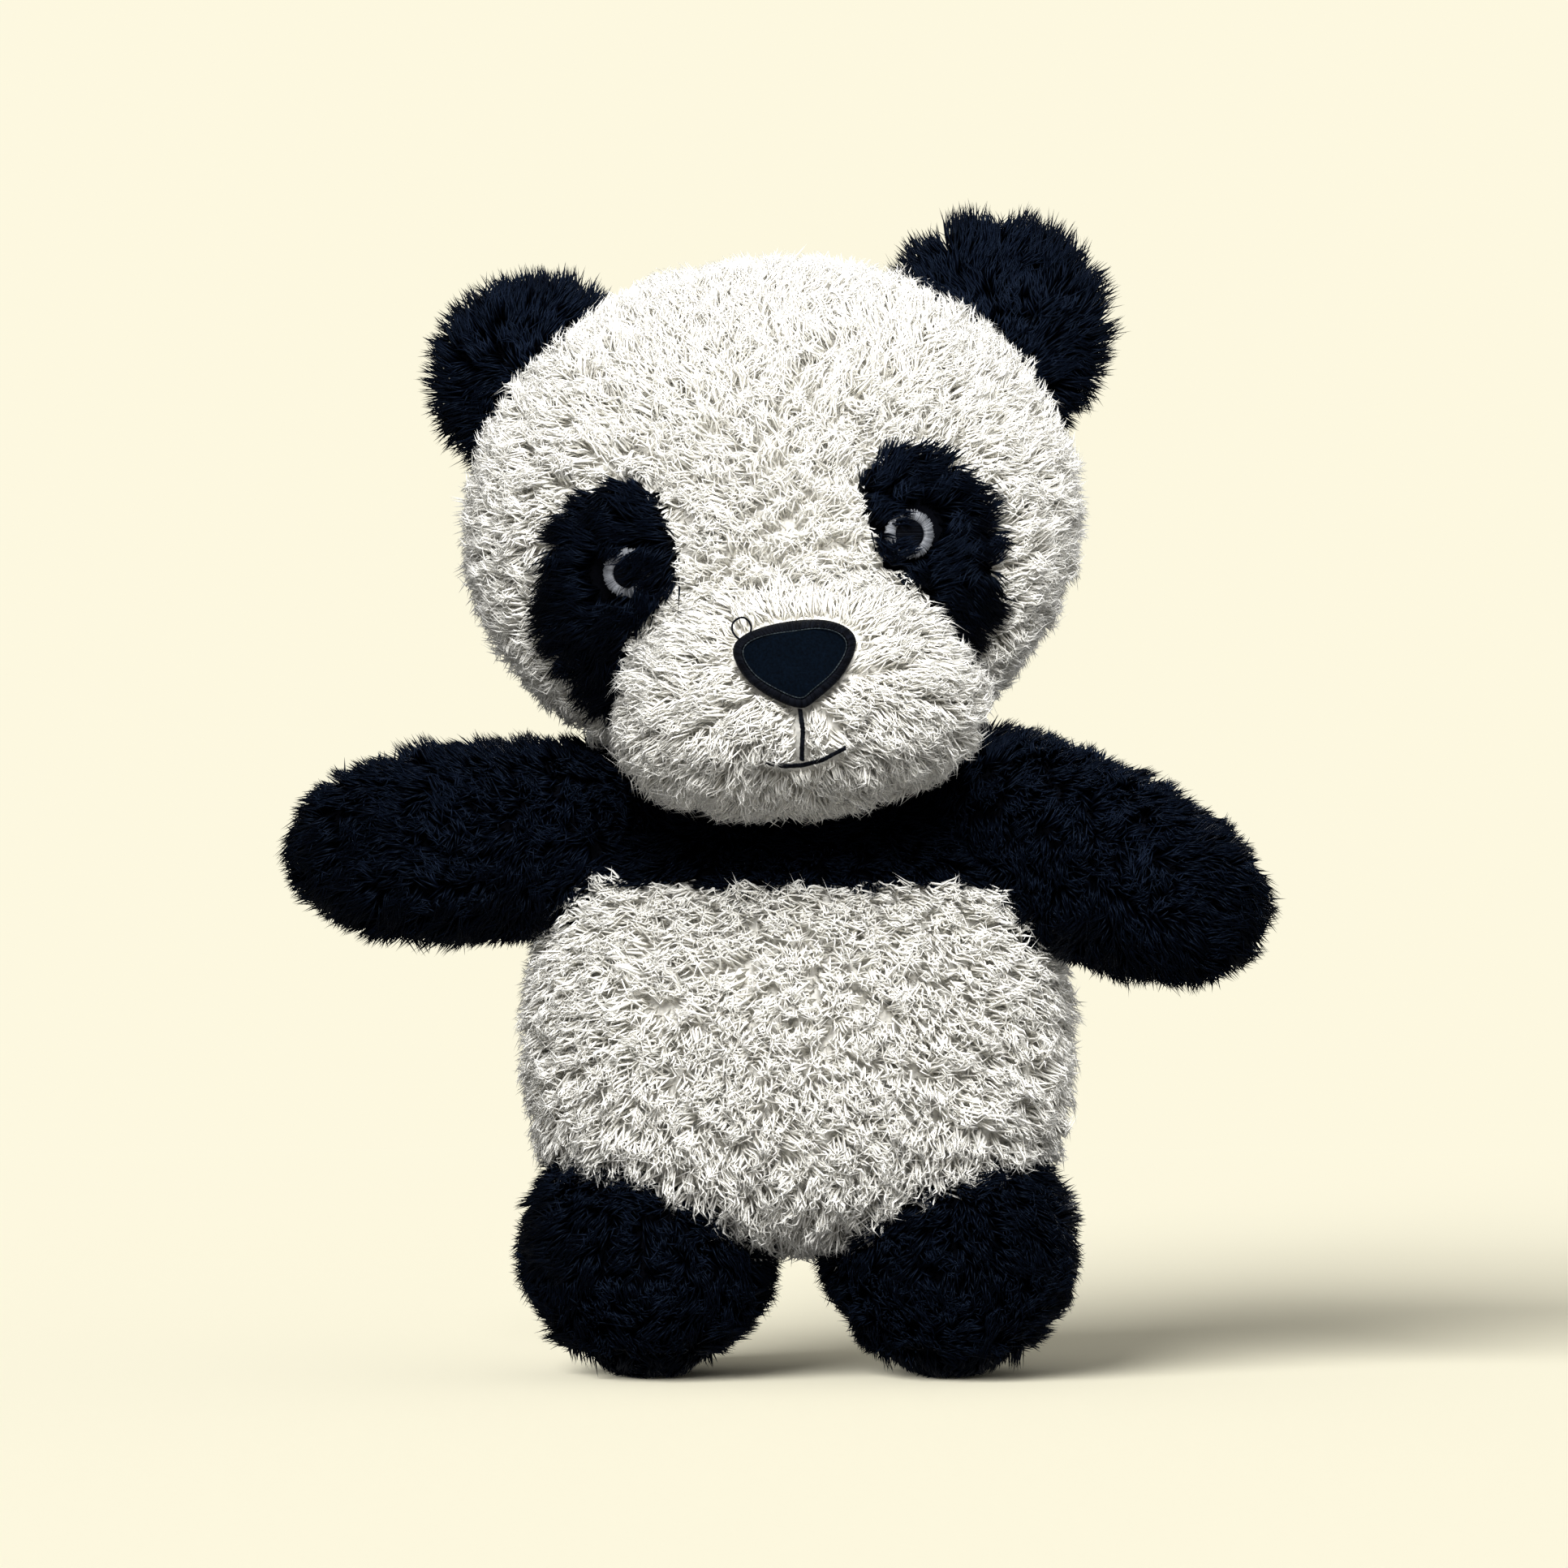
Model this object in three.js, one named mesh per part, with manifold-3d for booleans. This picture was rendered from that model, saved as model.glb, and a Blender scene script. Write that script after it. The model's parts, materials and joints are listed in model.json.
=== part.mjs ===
// Plush panda standing on its hind legs: pile-fabric panels sewn over stuffing.
// Millimetres, +Z up. The face looks along -Y and the panda's own left is +X.
// The outer surfaces lie halfway up the pile.
import * as THREE from 'three';
import { mergeVertices } from 'three/addons/utils/BufferGeometryUtils.js';
import Module from 'manifold-3d';

const wasm = await Module();
wasm.setup();

// ---------- Driving dimensions ----------
const gap = 0.3; // between neighbouring pieces
const wall = 5; // pile fabric, backing to mid-pile
const hingeClear = 0.9; // extra room where a piece turns against its neighbour
const headSlack = 1.5; // further room between the head and the shoulders

// Each rounded body: half-width on X, half-depths to the front and back, half-heights
// up and down, how full it is (2 is an ellipsoid), and its facets around and along.
const torso = {
  at: [0, 0, 82], x: 65, front: 47, back: 45, up: 64, down: 50, full: 2.3, around: 24, along: 16,
};
const bandHeight = 122; // seam between the black chest and the white belly

const torsoTop = torso.at[2] + torso.up;
const neck = { height: torsoTop + 2, radius: 19, turn: 15, nod: 8 };

const headRoll = 6; // degrees the head leans to the panda's right
const head = {
  at: [0, 0, 62], x: 73, front: 58, back: 56, up: 61, down: 65, full: 2.1, around: 26, along: 18,
};
const muzzle = {
  at: [2, 12 - head.front, 14], x: 42, front: 38, back: 30, up: 33, down: 24, full: 2, around: 20, along: 14,
};

const patchThick = 3; // eye patch pile
const stitchThick = 1.2; // satin stitch
const feltThick = 1.4; // nose felt
const ring = { outer: 6.6, inner: 3.9 };
const pupilRadius = 3.5;
const noseBorder = 2;
const stitchWidth = 1.6; // mouth and philtrum
const threadRadius = 0.45;

// Ears sit at shares of the head's half-width and of its height above the middle.
const onHead = (across, rise) => [across * head.x, head.at[2] + rise * head.up];
const leftEar = { at: onHead(0.822, 0.689), base: onHead(0.803, 0.564), radius: 25.5, lean: 46 };
const rightEar = { at: onHead(-0.747, 0.697), base: onHead(-0.74, 0.689), radius: 22.5, lean: -44 };
const earBack = 4; // how far behind the middle of the head
const earHalfThick = 8;
const earSwing = 15;

// Arms in their own frame: Z along the arm from the shoulder, X upwards.
const arm = {
  at: [0, 0, 30], x: 23, front: 21, back: 21, up: 53, down: 56, full: 2.1, around: 14, along: 12,
};
const limbWall = 4.5;
const armSwing = { raise: 8, lower: 20 };
const shoulderOut = 0.677 * torso.x;
const leftShoulder = { at: [shoulderOut, 0, torsoTop - 8], droop: 26, forward: 25 };
const rightShoulder = { at: [-shoulderOut, 0, torsoTop - 13], droop: 3, forward: 4 };

const legOut = 0.5846 * torso.x;
const legMiddle = 30;
const leg = {
  at: [legOut, -6, legMiddle],
  x: 28,
  front: 34,
  back: 28,
  up: torso.at[2] - legMiddle - 12, // its top goes in behind the belly
  down: legMiddle + 4, // trimmed flat on the floor
  full: 2.1,
  around: 16,
  along: 12,
};
const legSwing = 15;
const hipHeight = torso.at[2] - 34;
const soleThick = 5;

// ---------- Outlines on the face: X and Z from the top of the neck ----------
const leftPatchLine = [
  [22.4, 68], [27.1, 74.6], [34.4, 76.8], [44.1, 72.8], [51.1, 63], [53.3, 51.7],
  [53.2, 39.7], [49.5, 29], [43.8, 22.9], [39.8, 27], [38.3, 37.2], [34.1, 44.7],
  [27, 48], [24, 58.7],
];
const rightPatchLine = [
  [-35.1, 75.5], [-28.4, 72.4], [-24.5, 63.8], [-24.5, 53], [-29.1, 45.5], [-35, 41],
  [-40.5, 33.4], [-42.5, 20.6], [-47.2, 17.6], [-51, 23.5], [-54.5, 31.8], [-58.5, 39],
  [-58.6, 48], [-55.5, 58], [-51, 67.5], [-45, 73.5],
];
const leftEye = [32.8, 55.9];
const rightEye = [-36, 53.7];
const noseLine = [
  [-12.5, 32.1], [-9.5, 35.8], [-0.8, 37.9], [9.2, 37.6], [15.5, 34.8], [16.9, 30.4],
  [12.8, 23.8], [6.2, 18.9], [2, 17.3], [-4.7, 20.6], [-10.2, 25.8],
];
const mouthLine = [[-7.3, 5], [1.2, 3.9], [12, 6.6]];
const philtrumTop = 17;
const threadLoop = [[-12.5, 34.6, 1], [-10.8, 38.6, 2.4], [-8.2, 40.2, 3], [-6.6, 38.4, 1.8]];

// ---------- Materials ----------
const cloth = (color, roughness) => new THREE.MeshStandardMaterial({ color, roughness, metalness: 0 });
const whitePile = () => cloth('#e6e2d6', 0.9);
const blackPile = () => cloth('#0b0e17', 0.85);
const stuffing = () => cloth('#f2f2ee', 1);
const noseFelt = () => cloth('#0d1220', 0.8);
const blackThread = () => cloth('#0a0b10', 0.45);
const greyThread = () => cloth('#7f8288', 0.5);

// ---------- Solids ----------
function solidOf(geometry) {
  const bare = geometry.clone();
  bare.deleteAttribute('normal');
  bare.deleteAttribute('uv');
  const merged = mergeVertices(bare);
  const vertProperties = Float32Array.from(merged.attributes.position.array);
  const triVerts = Uint32Array.from(merged.index.array);
  return new wasm.Manifold(new wasm.Mesh({ numProp: 3, vertProperties, triVerts }));
}

function meshOf(name, solid, material) {
  const { numProp, vertProperties, triVerts } = solid.getMesh();
  const positions = new Float32Array((vertProperties.length / numProp) * 3);
  for (let i = 0; i * numProp < vertProperties.length; i += 1) {
    positions.set(vertProperties.subarray(i * numProp, i * numProp + 3), i * 3);
  }
  const geometry = new THREE.BufferGeometry();
  geometry.setAttribute('position', new THREE.BufferAttribute(positions, 3));
  geometry.setIndex(new THREE.BufferAttribute(Uint32Array.from(triVerts), 1));
  geometry.computeVertexNormals();
  const mesh = new THREE.Mesh(geometry, material);
  mesh.name = name;
  return mesh;
}

// A rounded body made `grow` larger all round, placed by `matrix`.
function blob(size, grow, matrix = new THREE.Matrix4()) {
  const geometry = new THREE.SphereGeometry(1, size.around, size.along);
  geometry.rotateX(Math.PI / 2);
  const points = geometry.attributes.position;
  for (let i = 0; i < points.count; i += 1) {
    const unit = new THREE.Vector3().fromBufferAttribute(points, i);
    const sum = unit.toArray().reduce((total, value) => total + Math.abs(value) ** size.full, 0);
    const { x, y, z } = unit.multiplyScalar(sum ** (-1 / size.full));
    points.setXYZ(
      i,
      size.at[0] + x * (size.x + grow),
      size.at[1] + y * ((y < 0 ? size.front : size.back) + grow),
      size.at[2] + z * ((z < 0 ? size.down : size.up) + grow),
    );
  }
  return solidOf(geometry.applyMatrix4(matrix));
}

// The same body with fewer facets, for what is inside.
const coarse = (size) => ({ ...size, around: size.around - 8, along: size.along - 6 });

// A box from `low` to `high`, placed by `matrix`.
function block(low, high, matrix = new THREE.Matrix4()) {
  const size = high.map((value, i) => value - low[i]);
  const geometry = new THREE.BoxGeometry(...size);
  geometry.translate(...high.map((value, i) => (value + low[i]) / 2));
  return solidOf(geometry.applyMatrix4(matrix));
}

const far = 400;
const sideOf = (axis, sign, from, matrix) => {
  const low = [-far, -far, -far];
  const high = [far, far, far];
  (sign > 0 ? low : high)[axis] = from;
  return block(low, high, matrix);
};

// The turn by `degrees` about `axis` through `pivot`.
function turnAbout(pivot, axis, degrees) {
  const turn = new THREE.Matrix4().makeRotationAxis(axis, THREE.MathUtils.degToRad(degrees));
  const there = new THREE.Matrix4().makeTranslation(...pivot);
  const back = new THREE.Matrix4().makeTranslation(...pivot.map((value) => -value));
  return there.multiply(turn).multiply(back);
}

// What a neighbour covers, `grow` larger, as the hinge turns to each of the angles.
function swept(size, grow, pivot, axis, angles) {
  return angles.reduce(
    (whole, angle) => whole.add(blob(size, grow, turnAbout(pivot, axis, angle))),
    blob(size, grow),
  );
}

const outlineShape = (points) => {
  const shape = new THREE.Shape();
  const loop = [...points, points[0]].map(([x, z]) => new THREE.Vector2(x, z));
  shape.moveTo(loop[0].x, loop[0].y);
  shape.splineThru(loop.slice(1));
  return shape;
};

// A prism out through the face, from the Y of `from`, with the outline in X and Z.
function prism(shape, from, curveSegments = 2) {
  const geometry = new THREE.ExtrudeGeometry(shape, { depth: 120, bevelEnabled: false, curveSegments });
  return solidOf(geometry.rotateX(Math.PI / 2).translate(0, from, 0));
}

const discShape = ([x, z], radius) => new THREE.Shape().absarc(x, z, radius, 0, Math.PI * 2);

// The outline shrunk by `inset` on every side of its middle.
function shrunk(points, inset) {
  const xs = points.map((point) => point[0]);
  const zs = points.map((point) => point[1]);
  const midX = (Math.max(...xs) + Math.min(...xs)) / 2;
  const midZ = (Math.max(...zs) + Math.min(...zs)) / 2;
  const scaleX = 1 - (2 * inset) / (Math.max(...xs) - Math.min(...xs));
  const scaleZ = 1 - (2 * inset) / (Math.max(...zs) - Math.min(...zs));
  return points.map(([x, z]) => [midX + (x - midX) * scaleX, midZ + (z - midZ) * scaleZ]);
}

// A strip of the given width along a line on the face.
function stripShape(points, width) {
  const half = width / 2;
  const above = points.map(([x, z]) => [x, z + half]);
  const below = points.map(([x, z]) => [x, z - half]).reverse();
  return new THREE.Shape([...above, ...below].map(([x, z]) => new THREE.Vector2(x, z)));
}

// A layer lying on a rounded body, from `from` to `to` above its surface.
const layer = (size, from, to) => blob(size, to).subtract(blob(size, from));

// ---------- Head ----------
const neckBall = (grow, height) => {
  const { radius } = neck;
  const size = { at: [0, 0, height], x: radius, front: radius, back: radius, up: radius, down: radius };
  return blob({ ...size, full: 2, around: 16, along: 10 }, grow);
};

function buildHead() {
  const group = new THREE.Group();
  const room = neckBall(gap * 2, 0);
  const shell = blob(head, 0).subtract(blob(coarse(head), -wall)).subtract(room);
  const front = shell.intersect(sideOf(1, -1, -gap / 2));
  const rear = shell.intersect(sideOf(1, 1, gap / 2));
  const leftSide = sideOf(0, 1, gap / 2);
  const rightSide = sideOf(0, -1, -gap / 2);
  const filling = blob(coarse(head), -wall - gap).subtract(room);
  group.add(meshOf('face_panel_left', front.intersect(leftSide), whitePile()));
  group.add(meshOf('face_panel_right', front.intersect(rightSide), whitePile()));
  group.add(meshOf('head_back_left', rear.intersect(leftSide), whitePile()));
  group.add(meshOf('head_back_right', rear.intersect(rightSide), whitePile()));
  group.add(meshOf('head_filling', filling, stuffing()));

  const skull = blob(head, gap).add(room);
  const cap = blob(muzzle, 0).subtract(blob(coarse(muzzle), -wall)).subtract(skull);
  group.add(meshOf('muzzle_shell', cap, whitePile()));
  const wad = blob(coarse(muzzle), -wall - gap).subtract(skull);
  group.add(meshOf('muzzle_filling', wad, stuffing()));
  return group;
}

function addEye(group, side, patchLine, eye) {
  const patchTop = gap + patchThick;
  const patch = layer(head, gap, patchTop).intersect(prism(outlineShape(patchLine), 0));
  const clearOfMuzzle = patch.subtract(blob(muzzle, gap));
  group.add(meshOf(`${side}_eye_patch`, clearOfMuzzle, blackPile()));
  const thread = layer(head, patchTop + gap, patchTop + gap + stitchThick);
  const outer = prism(discShape(eye, ring.outer), 0, 10);
  const inner = prism(discShape(eye, ring.inner), 0, 10);
  group.add(meshOf(`${side}_eye_ring`, thread.intersect(outer.subtract(inner)), greyThread()));
  const pupil = thread.intersect(prism(discShape(eye, pupilRadius), 0, 8));
  group.add(meshOf(`${side}_pupil`, pupil, blackThread()));
}

function addNoseAndMouth(group) {
  const felt = layer(muzzle, gap, gap + feltThick);
  const stitch = layer(muzzle, gap, gap + feltThick + 0.5);
  const [, middle] = muzzle.at;
  const borderInner = prism(outlineShape(shrunk(noseLine, noseBorder)), middle);
  const border = stitch.intersect(prism(outlineShape(noseLine), middle).subtract(borderInner));
  const patch = felt.intersect(prism(outlineShape(shrunk(noseLine, noseBorder + gap)), middle));
  group.add(meshOf('nose_patch', patch, noseFelt()));
  group.add(meshOf('nose_border_stitch', border, blackThread()));
  const [, corner] = mouthLine;
  const top = philtrumTop - gap;
  const foot = corner[1] + stitchWidth / 2 + gap;
  const philtrum = new THREE.Shape([
    new THREE.Vector2(corner[0] - stitchWidth / 2, foot),
    new THREE.Vector2(corner[0] + stitchWidth / 2, foot),
    new THREE.Vector2(corner[0] + stitchWidth / 2 + 0.6, top),
    new THREE.Vector2(corner[0] - stitchWidth / 2 + 0.6, top),
  ]);
  const clearOfNose = prism(outlineShape(shrunk(noseLine, -gap)), middle);
  const philtrumSolid = felt.intersect(prism(philtrum, middle)).subtract(clearOfNose);
  group.add(meshOf('philtrum_stitch', philtrumSolid, blackThread()));
  const mouth = felt.intersect(prism(stripShape(mouthLine, stitchWidth), middle));
  group.add(meshOf('mouth_stitch', mouth, blackThread()));
}

// How far forward the muzzle's surface is at X, Z, when `grow` larger.
function muzzleFront(x, z, grow) {
  const across = (x - muzzle.at[0]) / (muzzle.x + grow);
  const rise = (z - muzzle.at[2]) / (muzzle.up + grow);
  return muzzle.at[1] - (muzzle.front + grow) * Math.sqrt(1 - across * across - rise * rise);
}

function addThreadLoop(group) {
  const lift = feltThick + gap * 2 + threadRadius + 1;
  const path = threadLoop.map(([x, z, out]) => new THREE.Vector3(x, muzzleFront(x, z, lift) - out, z));
  const extrudePath = new THREE.CatmullRomCurve3(path);
  const section = new THREE.Shape().absarc(0, 0, threadRadius, 0, Math.PI * 2);
  const options = { steps: 10, curveSegments: 3, bevelEnabled: false, extrudePath };
  const thread = solidOf(new THREE.ExtrudeGeometry(section, options));
  group.add(meshOf('nose_thread_loop', thread, blackThread()));
}

// ---------- Ears ----------
function addEar(group, side, ear) {
  const { radius } = ear;
  const at = [ear.at[0], earBack, ear.at[1]];
  const half = { x: radius, front: earHalfThick, back: earHalfThick, up: radius, down: radius };
  const size = { at, ...half, full: 2.2, around: 18, along: 12 };
  const pivot = [ear.base[0], earBack, ear.base[1]];
  const lean = THREE.MathUtils.degToRad(ear.lean);
  const along = new THREE.Vector3(Math.cos(lean), 0, -Math.sin(lean));
  const skull = swept(head, gap + hingeClear, pivot, along, [-earSwing, earSwing]);
  const whole = blob(size, 0).subtract(skull);
  const front = whole.intersect(sideOf(1, -1, earBack - gap / 2));
  const rear = whole.intersect(sideOf(1, 1, earBack + gap / 2));
  group.add(meshOf(`${side}_ear_front`, front, blackPile()));
  group.add(meshOf(`${side}_ear_back`, rear, blackPile()));
}

// ---------- Torso ----------
function addTorso(group) {
  const room = neckBall(gap * 2, neck.height);
  const shell = blob(torso, 0).subtract(blob(coarse(torso), -wall)).subtract(room);
  const upper = shell.intersect(sideOf(2, 1, bandHeight + gap / 2));
  const lower = shell.intersect(sideOf(2, -1, bandHeight - gap / 2));
  const front = sideOf(1, -1, -gap / 2);
  const rear = sideOf(1, 1, gap / 2);
  const leftRear = rear.intersect(sideOf(0, 1, gap / 2));
  const rightRear = rear.intersect(sideOf(0, -1, -gap / 2));
  group.add(meshOf('chest_front', upper.intersect(front), blackPile()));
  group.add(meshOf('chest_back_left', upper.intersect(leftRear), blackPile()));
  group.add(meshOf('chest_back_right', upper.intersect(rightRear), blackPile()));
  group.add(meshOf('belly_front', lower.intersect(front), whitePile()));
  group.add(meshOf('belly_back_left', lower.intersect(leftRear), whitePile()));
  group.add(meshOf('belly_back_right', lower.intersect(rightRear), whitePile()));
  const filling = blob(coarse(torso), -wall - gap).subtract(room);
  group.add(meshOf('torso_filling', filling, stuffing()));
  group.add(meshOf('neck_filling', neckBall(0, neck.height), stuffing()));
}

// ---------- Limbs ----------
// Arm frame: Z runs from the shoulder to the paw, X upwards, Y to the back.
function armFrame(shoulder, side) {
  const droop = THREE.MathUtils.degToRad(shoulder.droop);
  const forward = THREE.MathUtils.degToRad(shoulder.forward);
  const out = Math.cos(droop) * Math.cos(forward);
  const run = new THREE.Vector3(side * out, -Math.sin(forward), -Math.sin(droop) * Math.cos(forward));
  const rise = new THREE.Vector3(0, 0, 1).addScaledVector(run, -run.z).normalize();
  const depth = new THREE.Vector3().crossVectors(run, rise).normalize();
  return new THREE.Matrix4().makeBasis(rise, depth, run).setPosition(...shoulder.at);
}

// The room the head needs above the shoulders as it turns and nods, placed by `matrix`.
function headRoom(grow, matrix) {
  const { turn: t, nod: n } = neck;
  return [[0, 0], [-t, -n], [-t, n], [t, -n], [t, n]].map(([turn, nod]) => {
    const frame = matrix.clone().multiply(new THREE.Matrix4().makeTranslation(0, 0, neck.height));
    frame.multiply(new THREE.Matrix4().makeRotationZ(THREE.MathUtils.degToRad(turn)));
    frame.multiply(new THREE.Matrix4().makeRotationX(THREE.MathUtils.degToRad(nod)));
    frame.multiply(new THREE.Matrix4().makeRotationY(THREE.MathUtils.degToRad(-headRoll)));
    return blob(coarse(head), grow, frame);
  }).reduce((whole, one) => whole.add(one));
}

function addArm(group, name, shoulder, side) {
  const frame = armFrame(shoulder, side);
  const axis = new THREE.Vector3(0, 1, 0);
  const angles = [-side * armSwing.lower, side * armSwing.raise];
  const trim = (size, chest, inset) => {
    const reach = gap + hingeClear + inset;
    const seat = swept(chest, reach, shoulder.at, axis, angles);
    return [0, ...angles].reduce(
      (left, angle) => left.subtract(headRoom(reach + headSlack, turnAbout(shoulder.at, axis, angle))),
      blob(size, -inset, frame).subtract(seat),
    );
  };
  const inner = coarse({ ...arm, around: arm.around + 6, along: arm.along + 4 });
  const thin = coarse(torso);
  const shell = trim(arm, torso, 0).subtract(trim(inner, thin, limbWall));
  const toFront = side > 0 ? 1 : -1;
  const front = shell.intersect(sideOf(1, toFront, toFront * (gap / 2), frame));
  const rear = shell.intersect(sideOf(1, -toFront, -toFront * (gap / 2), frame));
  group.add(meshOf(`${name}_front`, front, blackPile()));
  group.add(meshOf(`${name}_back`, rear, blackPile()));
  group.add(meshOf(`${name}_filling`, trim(inner, thin, limbWall + gap), stuffing()));
}

function addLeg(group, name, side) {
  const mirrored = { ...leg, at: [side * leg.at[0], leg.at[1], leg.at[2]] };
  const pivot = [side * leg.at[0], 0, hipHeight];
  const axis = new THREE.Vector3(1, 0, 0);
  const aboveFloor = sideOf(2, 1, 0);
  const aboveSole = sideOf(2, 1, soleThick + gap);
  const trim = (size, body, inset) => {
    const seat = swept(body, gap + hingeClear + inset, pivot, axis, [-legSwing, legSwing]);
    return blob(size, -inset).subtract(seat);
  };
  const inner = coarse({ ...mirrored, around: leg.around + 4, along: leg.along + 4 });
  const thin = coarse(torso);
  const shell = trim(mirrored, torso, 0).subtract(trim(inner, thin, limbWall)).intersect(aboveSole);
  const outside = shell.intersect(sideOf(0, side, side * (leg.at[0] + gap / 2)));
  const inside = shell.intersect(sideOf(0, -side, side * (leg.at[0] - gap / 2)));
  const soleSlab = sideOf(2, -1, soleThick).intersect(aboveFloor);
  group.add(meshOf(`${name}_outer`, outside, blackPile()));
  group.add(meshOf(`${name}_inner`, inside, blackPile()));
  group.add(meshOf(`${name}_sole`, blob(mirrored, 0).intersect(soleSlab), blackPile()));
  const filling = trim(inner, thin, limbWall + gap).intersect(aboveSole);
  group.add(meshOf(`${name}_filling`, filling, stuffing()));
}

// ---------- Assembly ----------
const panda = new THREE.Group();
const headGroup = buildHead();
headGroup.position.set(0, 0, neck.height);
headGroup.rotation.y = THREE.MathUtils.degToRad(-headRoll);
addEye(headGroup, 'left', leftPatchLine, leftEye);
addEye(headGroup, 'right', rightPatchLine, rightEye);
addNoseAndMouth(headGroup);
addThreadLoop(headGroup);
addEar(headGroup, 'left', leftEar);
addEar(headGroup, 'right', rightEar);
panda.add(headGroup);
addTorso(panda);
addArm(panda, 'left_arm', leftShoulder, 1);
addArm(panda, 'right_arm', rightShoulder, -1);
addLeg(panda, 'left_leg', 1);
addLeg(panda, 'right_leg', -1);

// The origin is the middle of the bounding box's underside.
panda.updateMatrixWorld(true);
const bounds = new THREE.Box3().setFromObject(panda, true);
const middle = bounds.getCenter(new THREE.Vector3());
panda.position.set(-middle.x, -middle.y, -bounds.min.z);

export default panda;
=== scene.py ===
"""Plush panda: stuffed forms, long pile set in locks, an embroidered face, and a small studio."""

from __future__ import annotations

import json
import logging
import math
from contextlib import contextmanager
from dataclasses import dataclass
from enum import Enum
from typing import Callable, Iterator

import bpy
import numpy as np
from mathutils import Matrix, Vector, noise
from mathutils.bvhtree import BVHTree
from mathutils.kdtree import KDTree


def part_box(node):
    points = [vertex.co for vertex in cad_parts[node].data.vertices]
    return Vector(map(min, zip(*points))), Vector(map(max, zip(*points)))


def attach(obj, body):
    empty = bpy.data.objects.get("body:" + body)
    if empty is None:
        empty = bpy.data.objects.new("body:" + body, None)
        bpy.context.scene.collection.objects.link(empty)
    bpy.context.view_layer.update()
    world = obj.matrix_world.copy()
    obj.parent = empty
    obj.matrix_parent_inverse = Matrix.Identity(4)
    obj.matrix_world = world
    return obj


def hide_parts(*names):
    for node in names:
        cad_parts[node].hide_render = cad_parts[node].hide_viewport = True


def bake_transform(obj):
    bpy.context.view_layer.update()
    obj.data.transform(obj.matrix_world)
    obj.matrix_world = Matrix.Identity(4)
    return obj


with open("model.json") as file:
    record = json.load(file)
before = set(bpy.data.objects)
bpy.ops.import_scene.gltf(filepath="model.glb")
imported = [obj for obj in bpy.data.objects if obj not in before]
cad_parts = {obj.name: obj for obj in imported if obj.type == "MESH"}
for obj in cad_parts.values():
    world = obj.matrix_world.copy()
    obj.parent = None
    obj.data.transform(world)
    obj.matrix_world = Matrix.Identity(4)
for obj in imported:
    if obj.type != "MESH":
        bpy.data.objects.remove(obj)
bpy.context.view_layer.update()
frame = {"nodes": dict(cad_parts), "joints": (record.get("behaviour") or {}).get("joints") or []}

log = logging.getLogger("panda")
MM = 0.001
OVER_FLOOR = 0.15 * MM
Array = np.ndarray
Colour = tuple[float, float, float]
Comb = Callable[[Array, Array], Array]


# ---------------------------------------------------------------- small tools


def deselect() -> None:
    """Leaves nothing selected, so that an operator acts only on its own piece."""
    bpy.ops.object.select_all(action="DESELECT")


def take(obj: bpy.types.Object) -> None:
    """Makes obj the only selected and the active object."""
    deselect()
    obj.select_set(True)
    bpy.context.view_layer.objects.active = obj


@contextmanager
def editing(obj: bpy.types.Object) -> Iterator[None]:
    """Edit mode with all of obj selected, and object mode again after it."""
    take(obj)
    bpy.ops.object.mode_set(mode="EDIT")
    bpy.ops.mesh.select_all(action="SELECT")
    yield
    bpy.ops.object.mode_set(mode="OBJECT")


def turn_outwards(obj: bpy.types.Object) -> None:
    """Makes every face of a closed piece point outwards."""
    with editing(obj):
        bpy.ops.mesh.normals_make_consistent(inside=False)


def apply_modifiers(obj: bpy.types.Object) -> None:
    """Applies every modifier of obj in order."""
    take(obj)
    for modifier in list(obj.modifiers):
        bpy.ops.object.modifier_apply(modifier=modifier.name)


def unit(vectors: Array) -> Array:
    """Rows of vectors scaled to length one."""
    return vectors / np.maximum(np.linalg.norm(vectors, axis=1, keepdims=True), 1e-12)


def verts_of(mesh: bpy.types.Mesh) -> Array:
    """The mesh's vertex positions as rows."""
    out = np.empty(len(mesh.vertices) * 3)
    mesh.vertices.foreach_get("co", out)
    return out.reshape(-1, 3)


def normals_of(mesh: bpy.types.Mesh) -> Array:
    """The directions off the mesh at its vertices, as rows."""
    out = np.empty(len(mesh.vertices) * 3)
    mesh.vertices.foreach_get("normal", out)
    return out.reshape(-1, 3)


def linked(name: str, data: bpy.types.ID) -> bpy.types.Object:
    """A new object called name that holds data, linked to the scene."""
    obj = bpy.data.objects.new(name, data)
    bpy.context.scene.collection.objects.link(obj)
    return obj


def store(mesh: bpy.types.Mesh, name: str, values: Array) -> None:
    """Stores a number at every vertex of the mesh, for a material to read."""
    mesh.attributes.new(name, "FLOAT", "POINT").data.foreach_set("value", values.astype(np.float32))


def copies(name: str, verts: Array, faces: Array) -> bpy.types.Mesh:
    """One smooth mesh of many copies of a small shape.

    Args:
        name: the mesh's name.
        verts: the copies' vertices: copy, vertex, axis.
        faces: one copy's triangles.

    Returns:
        The mesh.
    """
    count, each, _ = verts.shape
    every = (faces[None] + (np.arange(count) * each)[:, None, None]).reshape(-1, 3)
    mesh = bpy.data.meshes.new(name)
    mesh.from_pydata(verts.reshape(-1, 3), [], every)
    mesh.polygons.foreach_set("use_smooth", np.ones(len(every), dtype=bool))
    return mesh


def joint_place(name: str) -> Vector:
    """Where a joint of the frame is, in metres."""
    return Vector(next(j for j in frame["joints"] if j["name"] == name)["pos_m"])


def tree_of(mesh: bpy.types.Mesh) -> BVHTree:
    """The mesh's faces, for finding what is near or over them."""
    return BVHTree.FromPolygons(
        [v.co.copy() for v in mesh.vertices], [tuple(p.vertices) for p in mesh.polygons]
    )


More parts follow.
